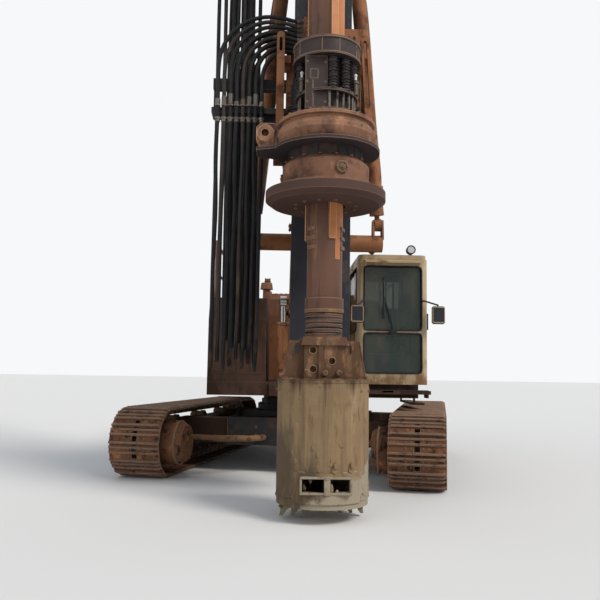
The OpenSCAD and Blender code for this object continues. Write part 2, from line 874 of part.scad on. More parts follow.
module cab_glass() {
    x0 = cab_x0;
    x1 = cab_front_x;
    y0 = cab_side_y;
    y1 = cab_y1;
    z0 = deck_top;
    w = cab_wall;
    m = w / 2;
    g = glass_t / 2;
    color(c_glass) {
        span([x1 - m - g, y0 + 90, z0 + 160], [x1 - m + g, y1 - 90, z0 + split_h - 20]);
        span([x1 - m - g, y0 + 90, z0 + split_h + 20], [x1 - m + g, y1 - 90, cab_z1 - 170]);
        span([x0 + 120, y0 + m - g, z0 + 760], [x1 - 140, y0 + m + g, cab_z1 - 170]);
        span([x0 + m - g, y0 + 120, z0 + 800], [x0 + m + g, y1 - 120, cab_z1 - 170]);
    }
}

module cab_seat() {
    x = cab_x0 + 480;
    y = cab_side_y + cab_w / 2;
    z = deck_top + cab_wall;
    color(c_black) {
        span([x - 150, y - 180, z], [x + 150, y + 180, z + 330]);
        span([x - 240, y - 250, z + 330], [x + 260, y + 250, z + 450]);
        translate([x - 200, y, z + 440])
            rotate([0, -8, 0])
                span([-60, -240, 0], [60, 240, 700]);
    }
}

module cab_steps() {
    ladder_x = [200, 1270];
    color(c_dark) {
        span([cab_front_x - 59.7, cab_side_y, deck_z + 60], [cab_front_x + 170, cab_y1, deck_z + 110]);
        span([ladder_x[0], upper_half_w + seat, deck_z - 110], [ladder_x[1] + 30, upper_half_w + 170, deck_z - 80]);
        for (x = ladder_x)
            span([x, upper_half_w + seat, deck_z - 100], [x + 30, upper_half_w + 30, deck_z + 150]);
        for (y = [cab_side_y + 20, cab_y1 - 50])
            span([cab_front_x - 59.7, y, deck_z + 10], [cab_front_x + 120, y + 30, deck_z + 70]);
    }
}

// Mirrors, roof lamps and grab rail of the cab
module cab_fittings() {
    lamp_z = cab_z1 + seat;
    mirror_x = cab_front_x + 90;
    color(c_black) {
        tube_run([[cab_front_x + seat, cab_side_y + 76, 2500], [cab_front_x + 60, cab_side_y + 76, 2500],
            [mirror_x - 5, cab_side_y - 20, 2420], [mirror_x - 5, cab_side_y - 20, 2300]], 12);
        tube_run([[cab_front_x + seat, cab_y1 - 76, 2500], [cab_front_x + 60, cab_y1 - 76, 2500],
            [mirror_x - 5, cab_y1 + 120, 2440], [mirror_x - 5, cab_y1 + 120, 2300]], 12);
        for (y = [cab_side_y - 20, cab_y1 + 120])
            plate_yz([[y - 70, 2170], [y - 90, 2190], [y - 90, 2400], [y - 70, 2420], [y + 70, 2420],
                [y + 90, 2400], [y + 90, 2190], [y + 70, 2170]], mirror_x, mirror_x + 40);
        tube_run([[640, cab_y1 + seat, 1620], [640, cab_y1 + 60, 1620], [640, cab_y1 + 60, 2420],
            [640, cab_y1 + seat, 2420]], 14);
    }
    color(c_dark)
        for (y = [cab_side_y + 220, cab_y1 - 220]) {
            span([cab_front_x - 180, y - 20, lamp_z], [cab_front_x - 140, y + 20, lamp_z + 40]);
            bar_x(cab_front_x - 190, cab_front_x - 110, y, lamp_z + 95, 62);
        }
}

// Hand rails round the walkways on top of the side boxes
module handrails() {
    top = deck_top + box_h;
    rail_h = 850;
    color(c_body)
        for (row = [[-upper_half_w + 70, tank_front_x - 200], [upper_half_w - 70, cab_x0 - 110]]) {
            y = row[0];
            x1 = row[1];
            x0 = box_x0 + 80;
            tube_run([[x0, y, top + seat], [x0, y, top + rail_h], [x1, y, top + rail_h], [x1, y, top + seat]], 19);
            for (x = [x0 + (x1 - x0) / 2])
                translate([x, y, top + seat])
                    cylinder(r = 17, h = rail_h, $fn = 12);
            bar_x(x0, x1, y, top + rail_h / 2, 15);
        }
}

// Boom: box beam with a hub at each end and the luffing cylinders' pin
module boom() {
    color(c_body)
        difference() {
            union() {
                translate([boom_foot_x, 0, boom_foot_z])
                    rotate([0, -boom_ang, 0])
                        plate_xz([[60, -100], [boom_len * 0.3, -boom_d / 2 - 25], [boom_len * 0.72, -boom_d / 2 - 25],
                            [boom_len - 60, -100], [boom_len - 60, 100], [boom_len * 0.75, boom_d / 2],
                            [boom_len * 0.25, boom_d / 2], [60, 100]], -boom_half_w, boom_half_w);
                bar_y(boom_foot_x, boom_foot_z, 120, boom_half_w + 30);
                bar_y(boom_head_x, boom_head_z, 120, boom_half_w + 30);
                bar_y(luff_eye[0], luff_eye[1], 40, luff_y + 50);
                bar_y(luff_eye[0], luff_eye[1], 90, boom_half_w + 60);
            }
            bar_y(boom_foot_x, boom_foot_z, pin_r + pin_fit, 400);
            bar_y(boom_head_x, boom_head_z, pin_r + pin_fit, 400);
        }
}

// A tube lying from a point towards another in the XZ plane, at a side place
module rod_from(a, b, y, r, s0, s1) {
    d = b - a;
    len = norm(d);
    ang = atan2(d[0], d[1]);
    translate([a[0], y, a[1]])
        rotate([0, ang, 0])
            translate([0, 0, s0])
                cylinder(r = r, h = (s1 < 0 ? len + s1 : s1) - s0);
}

module boom_barrels() {
    color(c_body)
        both_sides()
            difference() {
                union() {
                    rod_from(luff_foot, luff_eye, luff_y, luff_r, 110, 740);
                    rod_from(luff_foot, luff_eye, luff_y, 42, 52, 120);
                    bar_span(luff_foot[0], luff_foot[1], 70, luff_y - 45, luff_y + 45);
                }
                bar_span(luff_foot[0], luff_foot[1], 40 + pin_fit, luff_y - 100, luff_y + 100);
                rod_from(luff_foot, luff_eye, luff_y, 45 + pin_fit, 150, 800);
            }
}

module boom_rods() {
    color(c_steel)
        both_sides()
            difference() {
                union() {
                    rod_from(luff_foot, luff_eye, luff_y, 45, 400, -52);
                    bar_span(luff_eye[0], luff_eye[1], 75, luff_y - 45, luff_y + 45);
                }
                bar_span(luff_eye[0], luff_eye[1], 40 + 12, luff_y - 100, luff_y + 100);
            }
}

module support_rods() {
    a = [rod_foot_x, rod_foot_z];
    b = [rod_head_x, rod_head_z];
    y = plate_out + side_gap + link_w / 2;
    color(c_body)
        both_sides()
            difference() {
                union() {
                    rod_from(a, b, y, 28, 60, -60);
                    bar_span(a[0], a[1], 95, y - link_w / 2, y + link_w / 2);
                    bar_span(b[0], b[1], 95, y - link_w / 2, y + link_w / 2);
                }
                bar_span(a[0], a[1], pin_r + pin_fit, y - 100, y + 100);
                bar_span(b[0], b[1], pin_r + pin_fit, y - 100, y + 100);
            }
}

// Triangle frame between the boom, the rods and the mast, with the cross tube for the mast cylinders
module triangle() {
    color(c_body)
        difference() {
            union() {
                both_sides()
                    plate_xz([[boom_head_x - 20, boom_head_z - 120], [boom_head_x + 110, boom_head_z - 70],
                        [hinge_x + 100, hinge_z - 90], [hinge_x + 110, hinge_z + 60],
                        [hinge_x + 10, hinge_z + 120], [tube_x - 100, rod_head_z + 10],
                        [rod_head_x + 20, rod_head_z + 120], [rod_head_x - 100, rod_head_z + 60],
                        [rod_head_x - 90, rod_head_z - 80], [boom_head_x - 120, boom_head_z - 20]],
                        plate_in, plate_out);
                difference() {
                    bar_y(tube_x, hinge_z, 115, tube_half);
                    bar_y(tube_x, hinge_z, 90, tube_half + eps);
                }
                both_sides()
                    bar_span(rod_head_x, rod_head_z, pin_r, plate_in, plate_out + side_gap + link_w + 20);
                bar_y(boom_head_x, boom_head_z, pin_r, plate_in + 10);
                both_sides()
                    for (s = [-1, 1])
                        plate_xz([[tube_x - 100, hinge_z + 50], [tube_x + 100, hinge_z + 50],
                            [cyl_foot[0] + 60, cyl_foot[2] + 60], [cyl_foot[0] - 60, cyl_foot[2] + 60]],
                            cyl_foot[1] + s * 62 - 12, cyl_foot[1] + s * 62 + 12);
                both_sides()
                    bar_span(cyl_foot[0], cyl_foot[2], 38, cyl_foot[1] - 60, cyl_foot[1] + 60);
            }
            bar_y(hinge_x, hinge_z, 60 + pin_fit, 400);
        }
}

// A bar along the left mast cylinder's line, between two lengths from its foot
module along_cyl(r, s0, s1) {
    translate(cyl_foot)
        rotate([0, 0, atan2(cyl_vec[1], cyl_vec[0])])
            rotate([0, acos(cyl_vec[2] / cyl_len), 0])
                translate([0, 0, s0])
                    cylinder(r = r, h = s1 - s0);
}

module mast_barrels() {
    color(c_body)
        both_sides()
            difference() {
                union() {
                    along_cyl(mast_cyl_r, 130, cyl_gland);
                    along_cyl(34, 50, 140);
                    along_cyl(mast_cyl_r + 14, cyl_gland - 70, cyl_gland);
                    bar_span(cyl_foot[0], cyl_foot[2], 85, cyl_foot[1] - 45, cyl_foot[1] + 45);
                }
                bar_span(cyl_foot[0], cyl_foot[2], 38 + pin_fit, cyl_foot[1] - 100, cyl_foot[1] + 100);
                along_cyl(60 + pin_fit, 180, cyl_gland + 50);
            }
}

module mast_rod(side) {
    color(c_steel)
        mirror([0, side > 0 ? 0 : 1, 0])
            difference() {
                union() {
                    along_cyl(60, 2300, cyl_len - 270);
                    along_cyl(36, cyl_len - 280, cyl_len - 44);
                    bar_span(cyl_eye[0], cyl_eye[2], 54, cyl_eye[1] - 58, cyl_eye[1] + 58);
                }
                bar_span(cyl_eye[0], cyl_eye[2], cyl_pin_r + 8, cyl_eye[1] - 100, cyl_eye[1] + 100);
            }
}

module mast_rod_left() {
    mast_rod(1);
}

module mast_rod_right() {
    mast_rod(-1);
}

// A length of mast: box of four walls with a guide rail along each front edge
module mast_length(z0, z1) {
    difference() {
        union() {
            span([mast_back_x, -mast_w / 2, z0], [mast_front_x, mast_w / 2, z1]);
            both_sides()
                span([mast_front_x - 90, mast_w / 2 - 5, z0], [mast_front_x, rail_out, z1]);
        }
        span([mast_back_x + mast_wall, -mast_w / 2 + mast_wall, z0 - eps],
            [mast_front_x - mast_wall, mast_w / 2 - mast_wall, z1 + eps]);
    }
}

// Flange round the end of a mast length, behind the rails
module mast_flange(z0, z1) {
    difference() {
        span([mast_back_x - 50, -mast_w / 2 - 40, z0], [mast_front_x - 175, mast_w / 2 + 40, z1]);
        span([mast_back_x + mast_wall, -mast_w / 2 + mast_wall, z0 - eps],
            [mast_front_x - mast_wall, mast_w / 2 - mast_wall, z1 + eps]);
    }
}

// Frame of a winch behind the mast: two side plates
module winch_frame(z, half, r) {
    both_sides()
        plate_xz([[mast_back_x + 5, z - r - 140], [mast_back_x + 5, z + r + 140], [winch_x - 60, z + r + 40],
            [winch_x - r - 40, z + 60], [winch_x - r - 40, z - 60], [winch_x - 60, z - r - 40]], half, half + 25);
}

module mast_lower() {
    color(c_dark)
        difference() {
            union() {
                mast_length(mast_foot_z, mast_z1);
                span([mast_back_x, -mast_w / 2, mast_foot_z], [mast_front_x, mast_w / 2, mast_foot_z + 25]);
                mast_flange(mast_z1 - 40, mast_z1);
                difference() {
                    both_sides()
                        plate_xz([[mast_back_x + 5, hinge_z - 320], [mast_back_x + 5, hinge_z + 320],
                            [hinge_x - 60, hinge_z + 75], [hinge_x - 90, hinge_z], [hinge_x - 60, hinge_z - 75]],
                            plate_in - 60, plate_in - side_gap);
                }
                bar_y(hinge_x, hinge_z, 60, plate_out + 30);
                winch_frame(winch_z, winch_half + side_gap, drum_main_r + 50);
                winch_frame(aux_z, aux_half + side_gap, drum_aux_r + 40);
            }
            bar_y(winch_x, winch_z, 50 + pin_fit, 400);
            bar_y(winch_x, aux_z, 40 + pin_fit, 400);
        }
}

module mast_middle() {
    color(c_dark)
        difference() {
            union() {
                mast_length(mast_z1, mast_z2);
                mast_flange(mast_z1, mast_z1 + 40);
                mast_flange(mast_z2 - 40, mast_z2);
                both_sides()
                    for (s = [-1, 1])
                        plate_xz([[mast_back_x + 5, cyl_eye[2] - 160], [mast_back_x + 5, cyl_eye[2] + 160],
                            [cyl_eye[0] - 55, cyl_eye[2] + 60], [cyl_eye[0] - 55, cyl_eye[2] - 60]],
                            cyl_eye[1] + s * 84 - 12, cyl_eye[1] + s * 84 + 12);
                both_sides()
                    span([mast_back_x, mast_w / 2 - 5, cyl_eye[2] - 160],
                        [mast_back_x + 80, cyl_eye[1] + 96, cyl_eye[2] + 160]);
                both_sides()
                    bar_span(cyl_eye[0], cyl_eye[2], cyl_pin_r, cyl_eye[1] - 80, cyl_eye[1] + 80);
                difference() {
                    plate_yz([[-mast_w / 2 + 5, hose_hang_z - 120], [-mast_w / 2 + 5, hose_hang_z + 100],
                        [hose_mast_y - 60, hose_hang_z + 100], [hose_mast_y - 60, hose_hang_z],
                        [hose_near_y, hose_hang_z]], hose_mast_x - 100, hose_mast_x + 100);
                    span([mast_back_x, -mast_w / 2 + 1, hose_hang_z - 200],
                        [mast_front_x, mast_w / 2, hose_hang_z + 200]);
                }
                for (z = [barrel_z0 + 150, mast_z2 - 300])
                    difference() {
                        span([mast_front_x - 5, -110, z], [crowd_x + 40, 110, z + 60]);
                        translate([crowd_x, 0, z - eps])
                            cylinder(r = crowd_r + 0.3, h = 100);
                    }
            }
        }
}

module mast_upper() {
    color(c_dark) {
        mast_length(mast_z2, mast_z3);
        mast_flange(mast_z2, mast_z2 + 40);
        mast_flange(mast_z3 - 40, mast_z3);
    }
}

// Head of the mast: two side plates that carry the sheaves
module mast_head() {
    y0 = 270;
    color(c_dark)
        difference() {
            union() {
                span([mast_back_x - 50, -mast_w / 2 - 40, mast_z3], [mast_front_x - 175, mast_w / 2 + 40, mast_z3 + 40]);
                both_sides()
                    plate_xz([[mast_back_x - 20, mast_z3 + 35], [mast_front_x - 175, mast_z3 + 35],
                        [front_sheave_x + 120, head_z - 110], [front_sheave_x + 140, head_z + 100],
                        [mast_front_x, head_z + 260], [mast_back_x, head_z + 260],
                        [rear_sheave_x - 140, head_z + 100], [rear_sheave_x - 120, head_z - 110]], y0, y0 + 30);
                bar_y(mast_mid_x, head_z + 120, 60, y0 + 5);
            }
            bar_y(front_sheave_x, head_z, 50 + pin_fit, 400);
            bar_y(rear_sheave_x, head_z, 50 + pin_fit, 400);
        }
}

// Pair of sheaves on one axle: the main rope's and the auxiliary rope's
module sheaves(x) {
    color(c_dark)
        translate([x, 0, head_z])
            rotate([90, 0, 0])
                for (y = [0, -aux_rope_y])
                    rotate_extrude($fn = 64)
                        polygon([[0, y - 45], [120, y - 45], [120, y - 20], [250, y - 20], [sheave_r, y - 38],
                            [sheave_groove_r - 15, y], [sheave_r, y + 38], [250, y + 20], [120, y + 20],
                            [120, y + 45], [0, y + 45]]);
    color(c_dark)
        bar_y(x, head_z, 50, 300);
}

module sheave_front() {
    sheaves(front_sheave_x);
}

module sheave_rear() {
    sheaves(rear_sheave_x);
}

// A winch drum wound with rope, its two flanges and its axle
module drum(z, half, rope_r, flange_r, axle) {
    color(c_dark) {
        bar_y(winch_x, z, rope_r, half - 5);
        for (s = [-1, 1])
            bar_span(winch_x, z, flange_r, s * (half - 17.5) - 12.5, s * (half - 17.5) + 12.5);
        bar_y(winch_x, z, axle, half + 60);
    }
}

module winch_main() {
    drum(winch_z, winch_half, drum_main_r, drum_main_r + flange_over + 5, 50);
}

module winch_aux() {
    drum(aux_z, aux_half, drum_aux_r, drum_aux_r + flange_over - 5, 40);
}

module crowd_barrel() {
    color(c_body)
        difference() {
            translate([crowd_x, 0, barrel_z0])
                cylinder(r = crowd_r, h = barrel_z1 - barrel_z0);
            translate([crowd_x, 0, barrel_z0 - eps])
                cylinder(r = crowd_rod_r + pin_fit, h = barrel_z1 - barrel_z0 - 60);
        }
}

// Shoe that wraps a guide rail, over a stretch of height, in front of the left rail
module rail_shoe(z0, z1) {
    span([mast_front_x + seat, rail_out - 60, z0], [sled_x0 + 10, rail_out + 60, z1]);
    span([mast_front_x - 160, rail_out + side_gap, z0], [sled_x0 + 10, rail_out + 60, z1]);
    span([mast_front_x - 160, mast_w / 2 + 8, z0], [mast_front_x - 95, rail_out + 60, z1]);
}

// Arm beside the spring basket, standing on the gear housing's pin: foot, head, half width and slot
arm_x0 = 3800;
arm_x1 = 3860;
arm_y = 510;
arm_pin_z = gear_top + 60;
arm_tie_z = 5000;
module basket_arm(head_y, head_z, slot_z0) {
    difference() {
        union() {
            hull()
                for (p = [[arm_y, arm_pin_z], [head_y, head_z]])
                    bar_x(arm_x0, arm_x1, p[0], p[1], 45);
            span([upright_x1 - 20, upright_y1 - 45, arm_tie_z], [arm_x0 + 20, head_y + 40, arm_tie_z + 85]);
        }
        bar_x(arm_x0 - eps, arm_x1 + eps, arm_y, arm_pin_z, 18 + pin_fit);
        hull()
            for (z = [slot_z0, head_z - 40])
                bar_x(arm_x0 - eps, arm_x1 + eps, head_y + (arm_y - head_y) * (head_z - z) / (head_z - arm_pin_z),
                    z, 18);
    }
}

// Sled of the rotary drive: two uprights, cross beams, shoes round the rails, and the crowd rod
module drive_sled() {
    color(c_body) {
        both_sides() {
            plate_xz([[sled_x0, gear_top - 250], [sled_x1, gear_top - 160], [sled_x1, gear_top + 20],
                [upright_x1, gear_top + 110], [sled_x0, gear_top + 110]], sled_y0, sled_y1);
            span([sled_x0, upright_y0, gear_top + 30], [upright_x1, upright_y1, sled_top]);
            span([sled_x0, rail_out - 30, gear_z + 150], [sled_x0 + 70, sled_y0 + 5, gear_z + 450]);
            for (z = [gear_z + 150, sled_top - 420])
                rail_shoe(z, z + 300);
        }
        span([sled_x0, -upright_y1, sled_top - 160], [upright_x1, upright_y1, sled_top]);
        span([sled_x0, -sled_y1, gear_top + 50], [sled_x0 + 70, sled_y1, gear_top + 205]);
        span([upright_x1 - 10, hose_exit_y, hose_exit_z - 50], [hose_exit_x + 35, hose_exit_y + 80,
            hose_exit_z + hose_n * hose_exit_step]);
        span([sled_x0, hose_exit_y, sled_top - 420], [upright_x1, hose_exit_y + 80, sled_top - 150]);
        translate([crowd_x, 0, sled_top - 5])
            cylinder(r = 70, h = 100);
        basket_arm(450, 5290, 4480);
        mirror([0, 1, 0])
            basket_arm(arm_y, 5310, 5140);
    }
    color(c_steel)
        translate([crowd_x, 0, crowd_eye_z])
            cylinder(r = crowd_rod_r, h = crowd_up + crowd_down + 380);
}

// Gear housing of the drive: bulged wall between two flanges, clevises for the arms, and the ear on its right
ear_y = -660;
ear_z = 4040;
ear_r = 40;
ear_t = 90;
module gear_housing() {
    inner_x = sled_x0 + seat + 70;
    color(c_rust)
        difference() {
            union() {
                translate([kelly_x, 0, 0])
                    rotate_extrude($fn = 72)
                        polygon([[gear_bore, gear_z], [gear_r + 35, gear_z], [gear_r + 35, gear_z + 35],
                            [gear_r - 45, gear_z + 50], [gear_r - 30, gear_z + 80], [gear_r, gear_z + 150],
                            [gear_r - 10, gear_z + 205], [gear_r - 60, gear_top - 60],
                            [gear_r - 60, gear_top - 45], [gear_r - 20, gear_top - 40],
                            [gear_r - 20, gear_top - 8], [gear_r - 32, gear_top], [gear_bore, gear_top]]);
                span([inner_x, -sled_y0 + seat, gear_z + 30], [motor_x, sled_y0 - seat, gear_top - 30]);
                both_sides() {
                    translate([motor_x, motor_y, gear_z + 30])
                        cylinder(r = motor_r + 12, h = gear_h - 30);
                    span([arm_x0 - 45, arm_y - 130, gear_top - 40], [arm_x1 + 45, arm_y + 80, gear_top - 8]);
                    for (x = [arm_x0 - 18, arm_x1 + 3])
                        plate_yz([[arm_y - 50, gear_top - 10], [arm_y + 50, gear_top - 10],
                            [arm_y + 35, arm_pin_z + 40], [arm_y - 35, arm_pin_z + 40]], x, x + 15);
                    bar_x(arm_x0 - 30, arm_x1 + 30, arm_y, arm_pin_z, 18);
                }
                translate([0, 0, gear_z])
                    linear_extrude(35)
                        polygon([[kelly_x - 220, -500], [kelly_x + 220, -500], [kelly_x + 120, ear_y - 90],
                            [kelly_x - 120, ear_y - 90]]);
                plate_yz([[-480, gear_z + 30], [ear_y - 40, gear_z + 30], [ear_y - 95, ear_z - 80],
                    [ear_y - 95, ear_z + 60], [ear_y - 50, ear_z + 105], [-560, ear_z + 105], [-470, ear_z + 60]],
                    kelly_x - ear_t / 2, kelly_x + ear_t / 2);
            }
            bar_x(kelly_x - ear_t, kelly_x + ear_t, ear_y, ear_z, ear_r);
        }
}

module drive_motors() {
    color(c_dark)
        both_sides()
            translate([motor_x, motor_y, gear_top])
                rotate_extrude($fn = 32)
                    polygon([[0, 0], [motor_r, 0], [motor_r, 40], [motor_r - 18, 55], [motor_r - 18, 300],
                        [motor_r, 315], [motor_r, 345], [85, 360], [85, 620], [70, 650], [70, 700], [0, 700]]);
}

// Sleeve that turns the kelly bar, with the drum and the big disc under the housing
module drive_sleeve() {
    color(c_rust) {
        translate([kelly_x, 0, 0])
            rotate_extrude($fn = 72)
                polygon([[sleeve_r, disc_z], [disc_r - 60, disc_z], [disc_r, disc_z + 45],
                    [disc_r, disc_z + disc_t - 35], [disc_r - 90, drum_z], [drum_r, drum_z + 25],
                    [drum_r, neck_z - 45], [drum_r - 45, neck_z], [neck_r, neck_z], [neck_r, gear_z - seat],
                    [gear_bore - seat, gear_z - seat], [gear_bore - seat, basket_z - seat],
                    [sleeve_r, basket_z - seat]]);
        for (a = [17, 137, 257])
            translate([kelly_x, 0, 0])
                rotate([0, 0, a])
                    bar_x(drum_r - 20, drum_r + 12, 0, drum_z + drum_h / 2, 42);
    }
}

// Spring basket on the sleeve: base, posts, a middle plate, coil springs, a flat panel and the collar on top
module spring_basket() {
    pcd = 290;
    mid_z = basket_z + 230;
    spring_h = collar_z - mid_z - 25;
    coils = 7;
    step = spring_h / coils;
    core_r0 = sleeve_r + 24;
    color(c_dark)
        translate([kelly_x, 0, 0])
            difference() {
                union() {
                    translate([0, 0, basket_z])
                        cylinder(r = 345, h = 42);
                    translate([0, 0, basket_z])
                        cylinder(r = core_r0, h = basket_h);
                    translate([0, 0, mid_z])
                        cylinder(r = 338, h = 26);
                    rotate_extrude($fn = 72)
                        polygon([[sleeve_r - eps, collar_z], [collar_r, collar_z], [collar_r, collar_z + 14],
                            [collar_r - 14, collar_z + 22], [collar_r - 14, collar_top - 22],
                            [collar_r, collar_top - 14], [collar_r, collar_top], [collar_r - 20, collar_top],
                            [sleeve_r + 20, collar_top - 60], [sleeve_r - eps, collar_top - 60]]);
                    for (i = [0:9])
                        rotate([0, 0, 9 + i * 30]) {
                            translate([pcd, 0, mid_z + 25])
                                rotate_extrude($fn = 12)
                                    polygon(concat([[0, 0]], [for (k = [0:coils - 1])
                                        each [[44, k * step], [30, (k + 0.5) * step]]],
                                        [[44, spring_h], [0, spring_h]]));
                            for (a = [-7, 9])
                                rotate([0, 0, a])
                                    translate([pcd + 10, 0, basket_z + 40])
                                        cylinder(r = 14, h = mid_z - basket_z - 39, $fn = 8);
                        }
                    span([266, -245, basket_z + 40], [282, -8, collar_z + 5]);
                }
                translate([0, 0, basket_z - eps])
                    cylinder(r = sleeve_r, h = 2000, $fn = 72);
            }
}

// Guide at the top of the kelly bar: shoes on the rails, two arms and a ring
module kelly_guide() {
    color(c_body) {
        both_sides() {
            rail_shoe(guide_z - 450, guide_z + 450);
            difference() {
                span([3430, 200, guide_z - 80], [kelly_x, rail_out + 60, guide_z + 80]);
                translate([kelly_x, 0, guide_z - 100])
                    cylinder(r = 260, h = 200);
            }
        }
        translate([kelly_x, 0, guide_z - 80])
            difference() {
                cylinder(r = 320, h = 160);
                translate([0, 0, -eps])
                    cylinder(r = tube_r + 26, h = 200);
            }
    }
}

// A kelly tube with three keys along it, which begin at key_z0
key_angles = [20, 140, 260];
module kelly_tube(r, over_keys, bore, z0, z1, key_w, key_z0) {
    translate([kelly_x, 0, 0])
        difference() {
            union() {
                translate([0, 0, z0])
                    cylinder(r = r, h = z1 - z0);
                for (a = key_angles)
                    rotate([0, 0, a])
                        span([r - 10, -key_w / 2, key_z0], [over_keys, key_w / 2, z1 - 3]);
            }
            translate([0, 0, z0 - eps])
                cylinder(r = bore, h = z1 - z0 + 2 * eps);
        }
}

module kelly_outer() {
    lock_z = kelly_z + 640;
    color(c_kelly) {
        kelly_tube(tube_r, key_r, tube_r - tube_wall, kelly_z, kelly_top, 78, kelly_z + 740);
        translate([kelly_x, 0, kelly_z])
            difference() {
                cylinder(r = key_r - 4, h = 120);
                translate([0, 0, -eps])
                    cylinder(r = tube_r - 1, h = 200);
            }
        for (a = key_angles)
            for (i = [0:2])
                translate([kelly_x, 0, lock_z + i * 100])
                    rotate([0, 0, a - 70])
                        span([tube_r - 12, -55, 0], [key_r - 6, 55, 34]);
    }
    color(c_rust)
        translate([kelly_x, 0, guide_z + 80 + seat])
            difference() {
                cylinder(r = 290, h = 60);
                translate([0, 0, -eps])
                    cylinder(r = tube_r - 1, h = 100);
            }
}

module kelly_middle() {
    color(c_kelly)
        kelly_tube(middle_r, middle_key_r, middle_r - tube_wall, kelly_z, kelly_top + 40, 54, kelly_z + 45);
}

spring_turns = 5;
turn_h = (kelly_z - 25 - stub_z - 5) / spring_turns;

// Innermost kelly bar with its spring, its square stub and the swivel on top
module kelly_core() {
    color(c_kelly)
        kelly_tube(core_r, core_key_r, core_bore, stub_z, kelly_top + 80, 40, kelly_z + 60);
    color(c_rust) {
        translate([kelly_x, 0, 0])
            rotate_extrude()
                polygon(concat([[core_r - 2, stub_z + 5]], [for (i = [0:spring_turns - 1])
                    each [[195, stub_z + 5 + i * turn_h], [195, stub_z + 5 + (i + 0.6) * turn_h],
                        [165, stub_z + 5 + (i + 0.7) * turn_h], [165, stub_z + 5 + (i + 0.95) * turn_h]]],
                    [[195, kelly_z - 25], [195, kelly_z - seat], [core_r - 2, kelly_z - seat]]));
    }
    color(c_steel)
        translate([kelly_x, 0, kelly_top + 75])
            difference() {
                cylinder(r = 95, h = 420);
                translate([0, 0, -eps])
                    cylinder(r = 30, h = 500);
            }
}

// Bucket: shell with its latch window, and the head with a socket box between two gusset plates
window_y = [-225, 240];
window_z = [bucket_z + 115, bucket_z + 240];
module bucket() {
    front = kelly_x + bucket_r;
    box_top = stub_z - seat;
    color(c_mud)
        difference() {
            union() {
                translate([kelly_x, 0, bucket_z])
                    cylinder(r = bucket_r, h = bucket_h, $fn = 72);
                intersection() {
                    translate([kelly_x, 0, bucket_z])
                        cylinder(r = bucket_r + 14, h = 300, $fn = 72);
                    span([kelly_x + 200, window_y[0] - 95, bucket_z], [front + 30, window_y[1] + 110, window_z[1] + 55]);
                }
                span([kelly_x - stub_w / 2, -stub_w / 2, bucket_top - 5],
                    [kelly_x + stub_w / 2, stub_w / 2, box_top - 55]);
                translate([kelly_x, 0, box_top - 85])
                    linear_extrude(height = 85, scale = 0.9)
                        square(stub_w + 70, center = true);
                for (x = [kelly_x - 145, kelly_x + 115])
                    plate_yz([[-430, bucket_top - 5], [430, bucket_top - 5], [360, stub_z - 35], [-360, stub_z - 35]],
                        x, x + 30);
                plate_yz([[-62, bucket_top - 5], [-22, bucket_top - 5], [-22, stub_z - 60], [-62, stub_z - 60]],
                    kelly_x + 200, kelly_x + stub_w / 2 + 26);
                for (p = [[4, 1453], [146, 1456]])
                    bar_x(kelly_x, kelly_x + stub_w / 2 + 45, p[0], p[1] + 20, 30);
                for (y = [94, 258])
                    bar_x(kelly_x + 300, kelly_x + sqrt(pow(bucket_r, 2) - y * y) + 30, y, window_z[1] + 85, 28);
            }
            translate([kelly_x, 0, bucket_z - eps])
                cylinder(r = bucket_r - bucket_wall, h = bucket_h - 60, $fn = 72);
            difference() {
                span([kelly_x + 250, window_y[0], window_z[0]], [front + 40, window_y[1], window_z[1]]);
                span([kelly_x + 240, -10, window_z[0] - eps], [front + 50, 47, window_z[1] + eps]);
            }
            for (p = [[-122, 1705], [-119, 1512], [74, 1596]])
                bar_x(kelly_x + stub_w / 2 - 60, kelly_x + 400, p[0], p[1], 32);
            for (s = [-1, 1])
                for (z = [1700, 1745])
                    bar_x(kelly_x - 300, kelly_x + 300, s * 278, z, 30);
            for (s = [-1, 1])
                span([kelly_x - 300, s * 278 - 30, 1700], [kelly_x + 300, s * 278 + 30, 1745]);
        }
    color(c_mud) {
        both_sides() {
            span([flap_pin_x - 40, 60, flap_pin_z - 38], [flap_pin_x + 28, 90, bucket_z + 160]);
            span([flap_pin_x, 60, bucket_z], [kelly_x - bucket_r + 12, 90, bucket_z + 160]);
        }
        bar_y(flap_pin_x, flap_pin_z, 18, 65);
    }
}

